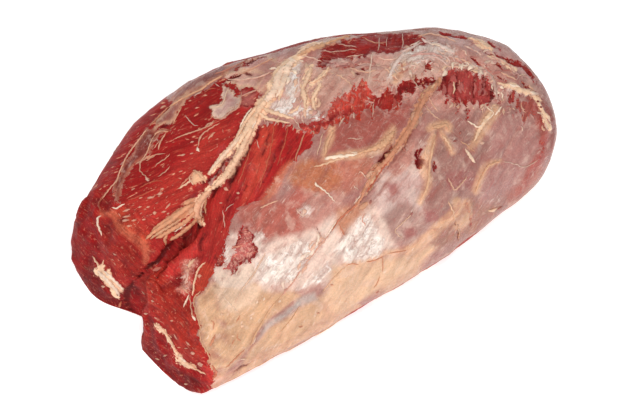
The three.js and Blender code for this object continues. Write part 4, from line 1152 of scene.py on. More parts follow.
W, C, O, T = FAT_WHITE, FAT, FAT_ORANGE, FAT_TAN
RIBBONS = [
    # far lobe: curls, the rim of the film, threads
    (W, 0.7, [(101, 216, 2), (98, 218, 3), (98, 222, 3), (99, 227, 2.5), (101, 232, 2), (102, 236, 1.2)]),
    (O, 0.4, [(108, 190, 2), (101, 199, 2.4), (99, 205, 2.4), (101, 212, 1.5)]), (W, 0.5, [(112, 207, 1.5), (116, 209, 2.5), (121, 206, 2), (125, 204, 1.2)]),
    (C, 0.4, [(147, 129, 2), (140, 139, 2), (131, 151, 2), (124, 162, 2), (117, 180, 1.8), (111, 187, 1.6), (102, 199, 1)]),
    (C, 0.35, [(154, 136, 1.2), (150, 145, 1.4), (146, 154, 1.4), (141, 161, 1.4), (135, 164, 1)]),
    (C, 0.35, [(169, 131, 1), (158, 132, 2), (154, 136, 1.6)]), (C, 0.4, [(166, 133, 1.2), (161, 142, 2.4), (158, 150, 2)]), (C, 0.3, [(160, 140, 1), (154, 149, 1.4)]),
    (C, 0.35, [(151, 154, 1), (145, 159, 1.6), (141, 162, 1.6), (140, 167, 1.4), (141, 172, 1.4), (150, 180, 1)]), (W, 0.4, [(145, 177, 2), (147, 179, 4), (149, 181, 2)]),
    (C, 0.3, [(165, 154, 1), (158, 154, 1.4), (153, 157, 1.4), (146, 161, 1)]), (C, 0.3, [(170, 154, 1), (165, 159, 1.4), (159, 163, 1.4), (155, 167, 1)]),
    (C, 0.3, [(170, 166, 1), (166, 171, 1.4), (158, 177, 1)]), (C, 0.35, [(206, 131, 1), (200, 138, 1.4), (198, 147, 1.4)]), (W, 0.5, [(197, 147, 2), (198, 149, 3.6), (199, 152, 2)]),
    (C, 0.4, [(215, 132, 1.5), (212, 135, 3), (208, 139, 2.6)]), (C, 0.35, [(174, 139, 1), (188, 134, 1.8), (196, 131, 1.8), (210, 125, 1.8), (214, 120, 1.2)]),
    (C, 0.35, [(220, 123, 1), (210, 129, 1.6), (203, 134, 1.6), (200, 140, 1.4), (198, 146, 1)]), (O, 0.3, [(139, 188, 1), (151, 182, 1.3), (163, 181, 1)]),
    (O, 0.3, [(128, 200, 1), (143, 195, 1.4), (153, 190, 1)]), (W, 0.35, [(185, 115, 1), (189, 120, 1.5), (194, 125, 1.5), (198, 126, 1)]),
    (T, 0.35, [(182, 107, 1), (176, 117, 1.5), (173, 125, 1)]), (T, 0.35, [(154, 135, 1), (161, 130, 1.5), (171, 130, 1)]),
    (W, 0.35, [(214, 83, 1), (217, 85, 1.6), (220, 87, 1)]), (W, 0.35, [(202, 91, 1), (198, 94, 2), (194, 96, 1)]),
    (T, 0.5, [(169, 107, 2), (185, 97, 2.6), (201, 90, 2.6), (210, 83, 2.6), (223, 76, 1.6)]), (T, 0.45, [(169, 107, 2), (160, 116, 2.4), (150, 126, 2)]),
    (O, 0.3, [(204, 93, 1), (210, 89, 2), (216, 88, 1)]), (C, 0.35, [(205, 127, 1), (208, 124, 2), (214, 122, 1.2)]),
    ((232, 196, 168), 0.4, [(228, 88, 1), (226, 95, 2), (222, 104, 2), (216, 107, 2.4), (210, 108, 1.4)]), ((232, 196, 168), 0.4, [(212, 117, 1), (221, 119, 2), (230, 113, 2.4), (238, 108, 2), (241, 100, 2), (241, 92, 1.4)]),
    ((226, 186, 160), 0.4, [(241, 97, 1.4), (250, 93, 2.6), (259, 89, 2)]), ((226, 190, 166), 0.4, [(226, 79, 1), (236, 80, 2.4), (248, 79, 3), (262, 76, 3), (272, 72, 2)]), (T, 0.4, [(236, 76, 1), (248, 71, 2), (262, 64, 2.4), (274, 58, 2)]),
    ((200, 140, 118), 0.35, [(222, 66, 1), (236, 60, 2), (252, 55, 2), (270, 49, 2), (290, 43, 1.4)]), ((196, 130, 108), 0.35, [(214, 74, 1), (226, 70, 2), (240, 64, 2), (250, 58, 1.4)]),
    # fat seam
    (C, 1.2, [(266, 100, 6), (260, 109, 8), (254, 119, 9.5), (248, 129, 9), (243, 137, 7), (239, 144, 4)]),
    ((236, 204, 176), 0.8, [(243, 134, 3), (236, 143, 4.5), (228, 151, 4.5), (220, 160, 4.5), (214, 167, 4), (208, 175, 2.5)]),
    (C, 0.9, [(258, 106, 3), (249, 117, 4), (242, 129, 4.5), (237, 139, 4), (232, 147, 3)]),
    (C, 1.1, [(252, 128, 4), (243, 147, 6.5), (237, 158, 6.5), (232, 167, 7), (224, 178, 6.5), (215, 186, 4.5), (207, 191, 4)]),
    # painted highlights: the thin white (W) ribbons on this line and the first on the next run along the crest of the
    # seam
    (W, 0.6, [(252, 108, 2), (247, 114, 3), (243, 121, 3), (240, 128, 2)]), (W, 0.5, [(227, 153, 1.6), (220, 160, 2.6), (214, 166, 1.6)]),
    (W, 0.5, [(257, 120, 2), (252, 128, 3), (247, 137, 2)]), ((230, 180, 146), 1.0, [(211, 189, 4), (204, 196, 6), (199, 203, 8), (196, 211, 8.5), (199, 219, 6), (202, 224, 3)]),
    (T, 0.5, [(206, 196, 1.6), (205, 205, 3), (206, 214, 2)]), ((226, 178, 142), 0.5, [(193, 170, 1.5), (198, 173, 3), (204, 179, 3.5), (206, 183, 2)]), ((226, 178, 142), 0.4, [(194, 172, 2), (190, 177, 2.5), (186, 181, 2), (180, 187, 1.2)]),
    (C, 0.5, [(192, 180, 2), (188, 183, 2.4), (183, 186, 2), (178, 189, 1.2)]), (C, 0.5, [(189, 176, 2), (191, 181, 2), (194, 185, 1.4)]),
    ((246, 214, 188), 0.9, [(284, 66, 5), (279, 76, 8.5), (276, 86, 9), (272, 95, 8.5), (264, 103, 7)]), ((246, 216, 190), 0.8, [(294, 60, 6), (288, 68, 8), (285, 78, 7.5), (281, 88, 6.5), (276, 97, 5)]),
    (W, 0.7, [(289, 58, 3), (293, 61, 5), (297, 62, 3)]), (W, 0.6, [(299, 61, 2), (302, 61, 3.5), (304, 61, 2)]), (W, 0.7, [(291, 71, 3), (295, 72, 5), (297, 74, 3)]),
    (W, 0.7, [(269, 69, 2), (273, 69, 4), (277, 69, 2)]), (W, 0.7, [(285, 77, 3), (289, 80, 5), (287, 84, 3)]),
    (W, 0.6, [(273, 92, 2), (273, 88, 3), (277, 87, 3), (280, 90, 3), (279, 94, 3), (275, 95, 2)]), (C, 0.6, [(283, 87, 3), (281, 94, 4), (279, 101, 3)]),
    (C, 0.7, [(312, 67, 3), (307, 79, 5), (303, 90, 4.5), (304, 95, 6.5), (305, 101, 4), (305, 109, 2.5)]), (C, 0.6, [(329, 66, 2.5), (325, 74, 3), (315, 81, 3.5), (308, 84, 2)]),
    (C, 0.6, [(321, 83, 3), (316, 93, 4), (313, 101, 4), (315, 111, 3)]), (C, 0.5, [(300, 104, 2), (296, 110, 3), (288, 114, 2)]), (C, 0.5, [(262, 108, 4), (272, 112, 5), (284, 116, 4), (294, 119, 2)]),
    (C, 0.5, [(258, 112, 4), (266, 118, 4), (278, 121, 3), (290, 123, 1.5)]), (W, 0.35, [(306, 112, 1), (302, 118, 2), (304, 124, 1)]), (W, 0.3, [(292, 118, 1), (298, 124, 1.6), (300, 129, 1)]),
    (T, 0.5, [(352, 35, 2), (342, 38, 3.5), (330, 42, 4), (320, 46, 5), (308, 50, 6), (298, 56, 5)]),
    (O, 0.4, [(243, 152, 2), (238, 160, 2.4), (234, 168, 2)]), (W, 0.5, [(234, 138, 1), (234, 141, 2), (235, 144, 1)]),
    # fingers at the foot of the seam
    ((217, 156, 119), 0.9, [(195, 198, 3), (190, 201, 4.5), (184, 205, 4)]), ((217, 156, 119), 0.95, [(195, 203, 4), (187, 208, 5), (180, 213, 5.5), (170, 221, 5), (158, 229, 4.5), (146, 239, 2.5)]),
    ((217, 156, 119), 0.9, [(195, 211, 4), (186, 221, 5), (176, 227, 5), (166, 233, 4.5), (156, 238, 3)]), ((217, 156, 119), 0.85, [(197, 218, 4), (188, 227, 5), (178, 235, 4.5), (170, 240, 3)]),
    ((217, 156, 119), 0.7, [(186, 207, 2), (174, 215, 3.5), (162, 223, 3.5), (152, 231, 2)]), (T, 0.6, [(182, 218, 2), (172, 225, 3), (160, 232, 3), (150, 239, 1.5)]),
    ((217, 156, 119), 0.7, [(168, 234, 3), (165, 239, 3.5), (166, 245, 2)]), (W, 0.5, [(176, 218, 1.4), (168, 224, 2.2), (160, 229, 1.4)]), (W, 0.5, [(188, 222, 1.4), (180, 228, 2.2), (174, 232, 1.4)]),
    ((217, 156, 119), 0.35, [(202, 223, 1.5), (201, 230, 2), (199, 238, 1.2)]),
    # near lobe and the strip
    (W, 0.35, [(223, 210, 1), (224, 218, 1.4), (225, 228, 1)]), (W, 0.35, [(225, 212, 1), (229, 207, 1.4), (234, 204, 1)]), (W, 0.4, [(256, 139, 1), (258, 144, 1.6), (259, 149, 1.6)]),
    (T, 0.35, [(305, 133, 1.4), (301, 143, 2), (298, 151, 2), (295, 161, 1.2)]), (O, 0.3, [(274, 124, 1), (272, 142, 1.6), (268, 161, 1.6), (259, 189, 1)]),
    (C, 0.35, [(260, 208, 1.2), (269, 204, 2), (278, 201, 1.2)]), (O, 0.3, [(250, 150, 1), (245, 166, 1.6), (238, 184, 1)]), (O, 0.3, [(288, 126, 1), (285, 142, 1.6), (277, 166, 1)]),
    (W, 0.6, [(189, 294, 1.4), (187, 300, 2.4), (184, 307, 2)]), (C, 0.4, [(190, 295, 1.2), (191, 306, 1.6), (193, 317, 2.4)]), (W, 0.5, [(192, 316, 2), (194, 318, 3.5), (196, 321, 2)]),
    (C, 0.6, [(206, 262, 1), (200, 268, 2), (196, 276, 2.4), (194, 286, 2), (193, 296, 1.4)]),
    (C, 0.6, [(154, 324, 1.6), (160, 327, 2.6), (165, 332, 2), (170, 340, 2.8), (175, 350, 3), (178, 355, 3.6), (182, 361, 5), (190, 366, 4), (196, 369, 1.6), (206, 374, 1)]),
    (W, 0.5, [(179, 355, 2), (183, 360, 4), (188, 364, 3)]), (O, 0.5, [(212, 365, 1.6), (216, 373, 3), (213, 379, 3)]),
    (T, 0.35, [(201, 291, 1.2), (194, 299, 1.6), (196, 312, 1.6), (200, 326, 1.6), (200, 336, 1.6), (203, 345, 1.6), (209, 356, 1.6), (209, 365, 1.2)]),
    # strands of the fat piece in the cut end
    (C, 0.6, [(93, 256, 1.2), (96, 261, 2), (99, 266, 2)]), (C, 0.5, [(104, 260, 1.2), (103, 266, 2)]), (W, 0.7, [(98, 271, 3), (105, 277, 5), (111, 284, 5), (117, 290, 4), (119, 296, 3)]),
    (W, 0.5, [(104, 271, 2), (111, 277, 4), (118, 284, 4), (124, 290, 2)]), (O, 0.5, [(121, 301, 1.6), (120, 305, 3), (118, 309, 2)]),
    ((230, 184, 152), 0.5, [(195, 259, 2), (191, 263, 4), (188, 268, 3)]), ((236, 206, 186), 0.4, [(188, 272, 2), (187, 279, 3), (185, 285, 2)]), ((226, 180, 150), 0.4, [(182, 286, 1.6), (185, 290, 2.6), (189, 294, 2)]),
    # red band and comb
    (W, 0.4, [(353, 112, 1.4), (354, 115, 2.6), (354, 119, 2)]), (W, 0.4, [(345, 117, 1.4), (342, 121, 2.6), (339, 126, 2)]), (W, 0.35, [(374, 103, 1.2), (373, 110, 1.8), (373, 117, 1.2)]),
    (W, 0.35, [(380, 37, 1.2), (379, 44, 1.8), (378, 51, 1.2)]), (W, 0.35, [(373, 52, 1.6), (371, 62, 2.6), (370, 71, 2.6), (369, 79, 1.6)]), (W, 0.35, [(402, 33, 1.2), (403, 41, 1.8), (402, 49, 1.2)]),
    (C, 0.5, [(453, 81, 1.6), (454, 88, 2.6), (453, 94, 1.6)]), (C, 0.4, [(459, 80, 1.2), (459, 85, 1.8)]), (W, 0.4, [(470, 92, 1.4), (470, 95, 2)]),
    (LILAC, 0.45, [(484, 69, 3), (492, 78, 4), (495, 88, 4.5), (497, 100, 3)]), (W, 0.5, [(467, 121, 1.6), (472, 124, 2.4), (477, 127, 2.4), (480, 127, 2.4), (485, 121, 2.4), (493, 114, 2), (488, 109, 2), (485, 106, 1.4)]),
    (W, 0.5, [(502, 106, 1.6), (499, 110, 3), (495, 115, 3)]), (C, 0.5, [(493, 110, 3), (489, 116, 5), (484, 123, 5), (478, 132, 4), (474, 141, 2)]),
    (W, 0.6, [(481, 69, 2), (481, 72, 5), (482, 75, 3)]), (W, 0.5, [(461, 66, 1.6), (465, 66, 3), (469, 65, 1.6)]), (W, 0.6, [(508, 84, 2), (513, 86, 3.5), (520, 87, 2)]),
    (W, 0.6, [(529, 92, 2), (533, 93, 4), (536, 94, 2)]), (W, 0.5, [(501, 92, 1.6), (502, 95, 3), (502, 99, 1.6)]), (W, 0.5, [(432, 69, 1.6), (432, 72, 3)]),
    (W, 0.6, [(444, 50, 3), (449, 51, 5), (454, 51, 3)]), (W, 0.5, [(431, 44, 2), (436, 45, 4), (441, 46, 2)]), (W, 0.5, [(410, 46, 2), (416, 44, 3), (420, 41, 2)]),
    ((232, 206, 194), 0.4, [(400, 68, 1.2), (410, 66, 2.2), (418, 66, 1.4)]), ((232, 206, 194), 0.4, [(424, 40, 1.4), (432, 41, 2.4), (438, 40, 1.4)]),
    (C, 0.5, [(469, 38, 3), (480, 42, 4.5), (484, 46, 4.5), (492, 49, 2.5)]), (C, 0.45, [(490, 55, 2.5), (500, 60, 3.5), (510, 66, 3.5), (515, 71, 2)]),
    (C, 0.4, [(418, 36, 2), (430, 34, 3), (444, 37, 3), (456, 42, 2)]), (C, 0.4, [(452, 58, 2), (462, 60, 2.6), (472, 64, 2)]), (C, 0.4, [(500, 72, 2), (508, 76, 3), (517, 80, 2)]),
    # strings of skin over the bare muscle at the top, and the rim of the whitened patch
    ((232, 206, 194), 0.5, [(402, 52, 1.6), (408, 50, 3), (414, 47, 3.4), (418, 42, 2)]), ((232, 206, 194), 0.6, [(436, 43, 2), (441, 46, 4), (447, 49, 4.6), (454, 52, 2)]),
    ((232, 206, 194), 0.45, [(444, 56, 1.6), (448, 59, 3), (450, 63, 1.6)]), ((232, 206, 194), 0.45, [(428, 60, 1.6), (420, 61, 2.8), (412, 63, 1.6)]), ((232, 206, 194), 0.4, [(412, 55, 1.6), (420, 52, 2.6), (428, 50, 1.6)]),
    (W, 0.3, [(322, 51, 0.9), (334, 52, 1.3), (350, 50, 1.4), (357, 50, 0.9)]), (W, 0.3, [(338, 44, 1), (348, 46, 1.8), (357, 47, 1.4)]), (C, 0.3, [(346, 57, 0.9), (356, 56, 1.4), (364, 54, 1)]),
    (W, 0.3, [(388, 37, 0.9), (386, 43, 1.3), (387, 47, 0.9)]), (C, 0.3, [(362, 37, 1.2), (372, 42, 1.6), (384, 44, 1.2)]), (W, 0.3, [(334, 59, 1), (342, 62, 1.6), (350, 62, 1)]),
    (W, 0.35, [(378, 58, 1.2), (390, 60, 2.4), (402, 56, 1.4)]), (C, 0.35, [(350, 68, 1.4), (364, 72, 2), (378, 70, 1.4)]), (C, 0.35, [(384, 68, 1.4), (392, 74, 2.4), (398, 80, 1.4)]),
    (C, 0.3, [(336, 74, 1.2), (346, 80, 2), (352, 86, 1.2)]), (W, 0.3, [(300, 56, 1.4), (312, 58, 2.6), (322, 62, 1.4)]), (W, 0.35, [(464, 46, 1.6), (474, 50, 3), (482, 56, 2)]),
    (W, 0.35, [(470, 64, 1.6), (478, 68, 3), (486, 68, 2)]), (C, 0.3, [(446, 66, 1.4), (456, 67, 2.4), (466, 68, 1.4)]), (W, 0.3, [(436, 50, 1.4), (442, 53, 2.4), (447, 52, 1.4)]),
    ((234, 210, 198), 0.5, [(405, 53, 3), (398, 61, 4), (393, 70, 4.5), (389, 78, 2.5)]), ((234, 210, 198), 0.6, [(438, 45, 3), (444, 48, 5.5), (451, 52, 6), (455, 52, 2.5)]), ((234, 210, 198), 0.5, [(421, 38, 1.6), (426, 42, 4), (432, 44, 2.6)]),
    ((206, 166, 158), 0.4, [(410, 56, 2), (422, 54, 4), (434, 54, 4), (444, 58, 2)]), ((234, 210, 198), 0.45, [(424, 58, 2), (434, 57, 3), (442, 61, 3.4), (448, 66, 2)]),
    # the long strand and its branches
    (STRAND, 0.9, [(438, 80, 3), (434, 88, 4), (427, 94, 5), (421, 105, 5), (416, 117, 5.5), (410, 129, 5.5), (402, 141, 5.5), (395, 150, 5), (386, 161, 4.5), (378, 168, 4), (371, 178, 3.5), (365, 189, 3), (361, 198, 2.5), (356, 205, 2)]),
    # the first ribbon on this line, along the upper part of the long strand, is a painted highlight
    ((230, 188, 150), 0.55, [(436, 83, 2), (430, 91, 3.6), (424, 100, 3.6), (418, 112, 3.2), (413, 123, 2.6), (408, 133, 1.6)]), ((180, 88, 62), 0.5, [(400, 146, 2), (391, 157, 3), (381, 170, 3), (373, 182, 2.6), (365, 194, 2)]), ((236, 200, 168), 0.5, [(384, 162, 1.6), (377, 169, 2.6), (370, 178, 2.2), (364, 188, 1.4)]),
    (O, 0.4, [(358, 203, 1.8), (353, 208, 2.2), (340, 219, 2.2), (332, 231, 1.4)]), (O, 0.36, [(330, 234, 1.2), (323, 242, 2), (312, 256, 1.8), (304, 266, 1.2)]), (O, 0.36, [(301, 270, 1.2), (292, 283, 1.9), (286, 290, 1.6), (281, 296, 1)]),
    (W, 0.4, [(363, 192, 1.6), (359, 198, 2.6), (354, 204, 1.8)]), (W, 0.4, [(337, 221, 1.6), (332, 228, 2.6), (326, 237, 1.8)]), (T, 0.35, [(282, 296, 1.6), (270, 310, 2.4), (260, 326, 2.4), (250, 346, 1.6)]),
    (W, 0.35, [(409, 75, 1), (415, 83, 1.5), (422, 92, 1.2)]), (C, 0.4, [(428, 96, 1.2), (432, 104, 1.6), (438, 112, 1)]), (C, 0.35, [(424, 104, 1), (432, 114, 1.6), (440, 120, 1)]),
    (T, 0.5, [(395, 131, 3), (389, 138, 6), (384, 144, 7), (376, 148, 5), (366, 151, 3), (357, 154, 2.5)]), (W, 0.45, [(351, 153, 2), (355, 153, 4), (358, 152, 2)]),
    (W, 0.5, [(358, 154, 2), (346, 156, 3.4), (335, 157, 4), (324, 159, 3)]), (C, 0.35, [(350, 156, 1.5), (336, 160, 2.4), (325, 164, 2.4), (314, 167, 1.5)]),
    (C, 0.35, [(323, 133, 1.2), (320, 144, 1.8), (317, 156, 1.2)]), (T, 0.4, [(333, 130, 3), (329, 139, 4), (326, 148, 4), (325, 156, 2)]),
    (W, 0.35, [(347, 138, 0.9), (356, 139, 1.4), (364, 138, 0.9)]), (W, 0.35, [(369, 158, 1), (372, 157, 1.8), (375, 156, 1)]), (W, 0.35, [(358, 174, 1.2), (361, 172, 1.8), (366, 178, 1.2)]),
    (W, 0.35, [(353, 185, 1.2), (356, 188, 1.8), (359, 190, 1.2)]), (W, 0.5, [(315, 182, 2.4), (316, 185, 3.2), (318, 186, 2), (326, 192, 1.5), (330, 196, 1.5), (335, 202, 1)]),
    (W, 0.4, [(302, 210, 2), (304, 212, 3.5), (303, 216, 2)]), (W, 0.35, [(309, 205, 1.4), (310, 208, 2)]), (W, 0.35, [(296, 208, 1.2), (300, 214, 1.8), (308, 216, 1.2)]),
    (O, 0.35, [(339, 224, 1), (342, 230, 1.8), (345, 236, 1)]), (O, 0.3, [(365, 213, 1), (362, 219, 1.6), (366, 226, 1)]),
    (T, 0.45, [(430, 129, 3.5), (436, 127, 4.5), (445, 125, 4.5), (449, 130, 3)]), (C, 0.4, [(442, 135, 2.4), (448, 143, 3), (452, 151, 2)]), ((226, 180, 144), 0.4, [(434, 141, 2.4), (432, 151, 3), (430, 161, 3), (429, 172, 3.4), (428, 184, 3.4), (424, 194, 3), (420, 202, 2)]),
    ((238, 206, 178), 0.47, [(465, 149, 2.6), (470, 156, 4), (475, 163, 2.6)]), (C, 0.35, [(427, 145, 1), (425, 152, 1.6), (428, 158, 1)]), (T, 0.4, [(501, 161, 1.4), (494, 163, 2.4), (487, 167, 4), (481, 178, 4), (475, 192, 2)]),
    (W, 0.3, [(502, 161, 1), (515, 164, 1.4), (525, 167, 1.4), (538, 160, 1)]), (C, 0.35, [(448, 178, 1.4), (451, 184, 2), (455, 190, 2), (461, 184, 2), (467, 176, 1.4)]),
    (C, 0.35, [(448, 201, 1.6), (453, 212, 2), (455, 221, 1.4)]), (T, 0.35, [(455, 221, 1.2), (459, 232, 1.6), (458, 240, 1)]), (C, 0.35, [(412, 214, 1), (401, 224, 1.4), (395, 231, 1.4), (403, 239, 1)]),
    (C, 0.5, [(488, 211, 2.5), (493, 210, 4.5), (497, 208, 3)]), (T, 0.4, [(460, 141, 1), (468, 146, 1.6), (475, 152, 1)]), (W, 0.4, [(521, 126, 1.4), (522, 129, 2.6), (522, 132, 1.4)]),
    # lower side
    (O, 0.4, [(211, 320, 1.2), (214, 324, 2), (213, 330, 1.2)]), (O, 0.4, [(215, 334, 1.6), (213, 340, 3), (210, 347, 1.6)]), (O, 0.35, [(245, 349, 1.4), (235, 359, 2.4), (226, 368, 1.4)]),
    (O, 0.35, [(238, 334, 1), (237, 338, 1.6), (241, 341, 1)]), (O, 0.3, [(235, 339, 1), (233, 342, 1.5), (232, 345, 1)]), (W, 0.35, [(222, 295, 1), (230, 304, 1.5), (239, 313, 1)]),
    (O, 0.3, [(240, 315, 1), (238, 319, 1.5), (236, 322, 1)]), (T, 0.35, [(265, 253, 1), (257, 269, 1.8), (249, 280, 1.8), (241, 291, 1.8), (235, 303, 1)]),
    (W, 0.45, [(256, 337, 1.6), (254, 341, 3), (251, 345, 1.6)]), (W, 0.4, [(240, 359, 1.2), (243, 359, 2), (247, 359, 1.2)]), (W, 0.35, [(238, 270, 1.4), (237, 273, 2), (236, 276, 1.4)]), (W, 0.35, [(251, 264, 1.4), (253, 269, 2), (253, 274, 1.2)]),
    (O, 0.3, [(346, 266, 0.9), (352, 264, 1.8), (359, 264, 1.2)]), (O, 0.35, [(366, 262, 0.9), (374, 260, 1.9), (384, 256, 1.2)]), (O, 0.3, [(388, 254, 0.9), (396, 252, 1.6), (407, 250, 0.9)]), (O, 0.3, [(382, 256, 0.9), (383, 264, 1.5), (382, 272, 0.9)]), (O, 0.3, [(380, 276, 0.9), (378, 282, 1.4), (374, 288, 0.9)]),
    (T, 0.3, [(346, 266, 1.4), (334, 278, 2), (322, 292, 1.2)]), (W, 0.45, [(318, 232, 2.6), (318, 239, 3.4), (316, 247, 2)]), (T, 0.3, [(300, 306, 1), (292, 318, 1.6), (280, 332, 1)]),
]
# flecks: (x, y, length, width, degrees up from level, colour)
FLECKS = [(150.6, 197.6, 7, 3.5, 10, W), (159.7, 193.8, 6, 3, 15, W), (162.2, 188.9, 4, 2, 10, C), (126.5, 210.4, 8, 3, 20, W), (126.5, 216.6, 8, 2.5, 10, W), (125.7, 220.4, 7, 3, 5, W),
          (134, 220.4, 5, 2, 10, C), (154.7, 212.9, 4, 3, 0, C), (163.8, 211.7, 5, 1.5, 15, C), (168, 206, 8, 2, 50, C), (148, 207, 4, 1.6, 15, C), (139.8, 207, 4, 1.6, 15, C),
          (143.9, 219.5, 4, 1.6, 10, C), (129, 226, 5, 1.8, 0, C), (133.2, 189.3, 4, 1.5, 25, C), (140.6, 198, 4, 1.5, 25, C), (192, 142, 4, 2, 20, W), (182.9, 155, 5, 2, 20, W),
          (191.6, 153.6, 4, 2, 20, W), (180.8, 171.5, 4, 1.6, 20, C), (190, 100.8, 3, 1.6, 10, C), (197, 108, 4, 1.6, 15, C), (205.5, 95.7, 4, 2, 10, C), (143.7, 293, 5, 1.8, -45, W),
          (152.6, 301, 3.5, 2, -30, W), (145.9, 313.6, 4, 2, 0, W), (155.7, 318, 3.5, 2, -30, W), (171.8, 320.7, 3, 2, 0, C), (175.7, 337, 7, 1.8, -60, W), (187.9, 343.5, 6, 1.8, -45, W),
          (178.9, 347.5, 3, 1.8, 0, C), (186, 348.4, 3, 1.8, 0, C), (165, 355.5, 4, 2, 20, C), (157.5, 359, 4, 2, -20, C), (186, 384, 4, 2, 0, C), (181.6, 375, 3.5, 2, 0, O),
          (200.4, 364.5, 5, 5, 0, W), (192.8, 353.3, 4, 4, 0, W), (114.7, 254.3, 3.5, 2, -20, W), (153.7, 251, 3, 2, 0, O), (103, 286.4, 3.5, 3.2, 0, W), (199.5, 276, 4.5, 3.5, 0, W),
          (157, 269, 9, 4, 15, (226, 150, 130)), (222, 314.5, 4.5, 3, 0, W), (242, 326, 4, 3, 0, W), (233, 336, 3.5, 2.6, 0, W), (221, 203, 3, 2, 0, W), (238, 193, 3.5, 2.4, 0, C),
          (226, 189, 5, 3.5, -30, W), (482, 143, 5, 3, 10, W), (447, 60.6, 4, 3, 0, W), (512.8, 70, 4, 4, 0, W), (304.5, 211, 5, 4, 0, W), (163, 107, 6, 3, 30, C), (329.5, 157, 10, 2, 5, W),
          (257, 302, 4, 2.5, 60, (240, 214, 190)), (264, 299, 4, 2.5, 60, (240, 214, 190)), (251, 318, 4, 2.5, 60, (240, 214, 190)), (279.6, 301, 4, 3, 50, (240, 214, 190)), (218, 300, 3, 2, 0, C),
          (285.7, 290, 4, 3, 50, (150, 60, 50)), (399, 63, 4, 3, 0, (150, 70, 60)), (460, 133, 4, 3, 60, (140, 50, 46)), (455, 141, 5, 3, 20, (140, 50, 46)), (370.5, 202, 5, 2.5, 70, (140, 50, 46)),
          (411.6, 214, 5, 2.5, 70, (140, 50, 46)), (377.5, 292, 4, 2.5, 40, (170, 70, 56)), (332, 285, 3, 2.4, 0, (190, 90, 70)), (318, 313, 3, 2.4, 0, (180, 90, 70)), (301, 326.7, 4, 2.4, 0, (170, 90, 70)),
          (500, 208, 6, 4, 30, (150, 60, 54)), (538, 101.5, 3, 3, 0, (90, 20, 20)), (541, 107, 3, 2.4, 0, (90, 20, 20))]

strands, flecks = Bits(), Bits()
for colour, high, line in RIBBONS:
    if colour == W and max(p[2] for p in line) <= 3.0:
        line = [(x, y, 0.8 * w) for x, y, w in line]
    lay(strands, colour, high, line)
for x, y, length, width, up, colour in FLECKS:
    dx, dy = math.cos(math.radians(up)) * length / 2, -math.sin(math.radians(up)) * length / 2
    lay(flecks, (238, 198, 170) if colour == W else colour, 0.42, [(x - dx, y - dy, width * 0.9), (x, y, width * 1.3), (x + dx, y + dy, width * 0.9)], 0.15, 8, 0.1, max(0.8, length / 5))

luck = np.random.default_rng(23)
# fine marbling along the fibres of the far lobe and the cut faces, where the photograph shows many small flecks
RUNS = [(FAR_LOBE, 22, 26, (122, 184, 176, 228)), (FAR_LOBE, 25, 22, (118, 100, 235, 240)), (NEAR_LOBE, -45, 26, (140, 268, 205, 372)), (FAR_LOBE, -40, 16, (90, 215, 142, 285)), (NEAR_LOBE, 65, 10, (212, 130, 300, 250))]
for outline, up, number, (x0, y0, x1, y1) in RUNS:
    spots = np.stack([luck.uniform(x0, x1, number * 3), luck.uniform(y0, y1, number * 3)], -1)
    done = 0
    for x, y in spots:
        i = np.argmin((UV[:, 0] - x) ** 2 + (UV[:, 1] - y) ** 2 + 1e4 * (facing < 0.1))
        if done >= number or red[i] < 1.0 or fat[i] > -0.8 or slit_shade[i] > -1.5:
            continue
        done += 1
        a, length = math.radians(up + luck.normal(0, 24)), luck.uniform(1.2, 4.2)
        dx, dy, width = math.cos(a) * length / 2, -math.sin(a) * length / 2, luck.uniform(0.8, 2.0)
        lay(flecks, [(236, 186, 156), (232, 160, 130), (218, 132, 104)][luck.integers(3)], 0.22, [(x - dx, y - dy, width), (x, y, width), (x + dx, y + dy, width)], 0.1, 6, 0.15, max(0.7, length / 4))


def fringe(number, path, spread, up, turn, size, tones, high, seed):
    """Ragged little ends of skin and fat scattered along a line."""
    pick, ln = np.random.default_rng(seed), spline([(x, y, 1.0) for x, y in path], 1.0)
    for _ in range(number):
        x, y, _w = ln[pick.integers(len(ln))]
        x, y = x + pick.normal(0, spread), y + pick.normal(0, spread)
        a, length, bend = math.radians(up + pick.normal(0, turn)), pick.uniform(*size), pick.normal(0, 0.3)
        dx, dy, w = math.cos(a) * length / 2, -math.sin(a) * length / 2, pick.uniform(1.2, 1.0 + 0.45 * size[1])
        lay(strands, tones[pick.integers(len(tones))], high * pick.uniform(0.7, 1.2), [(x - dx, y - dy, w * 0.5), (x - bend * dy, y + bend * dx, w), (x + dx, y + dy, w * 0.4)], 0.2, 8, 0.5)


ROSE = (206, 160, 148)
fringe(34, [(436, 76), (446, 70), (460, 66), (474, 67), (486, 74), (495, 86), (499, 98)], 2.2, 60, 50, (3, 8), [W, C, ROSE, W], 0.5, 31)
fringe(26, [(398, 60), (410, 50), (424, 44), (440, 44), (456, 52), (450, 60), (432, 60), (414, 64)], 2.0, 20, 60, (3, 9), [(232, 206, 194), ROSE, (240, 222, 210)], 0.42, 32)
fringe(24, [(320, 122), (334, 104), (346, 90), (362, 80), (378, 88), (396, 86), (410, 78), (430, 74)], 2.4, 50, 50, (3, 8), [ROSE, C, (190, 110, 98)], 0.32, 33)
fringe(26, [(300, 66), (308, 80), (306, 96), (318, 110), (296, 112)], 5.0, 62, 24, (5, 14), [C, ROSE, (214, 172, 152)], 0.34, 34)
fringe(26, [(330, 68), (352, 74), (372, 74), (392, 72), (410, 70)], 4.5, 40, 60, (4, 10), [ROSE, C, (182, 96, 86)], 0.28, 35)
fringe(20, [(470, 44), (490, 56), (510, 66), (526, 82), (540, 100), (548, 130)], 3.0, -40, 30, (4, 10), [ROSE, C, W], 0.36, 36)
fringe(22, [(500, 100), (512, 108), (524, 112), (534, 122)], 3.4, -60, 30, (3, 8), [ROSE, (176, 96, 88), C], 0.3, 37)
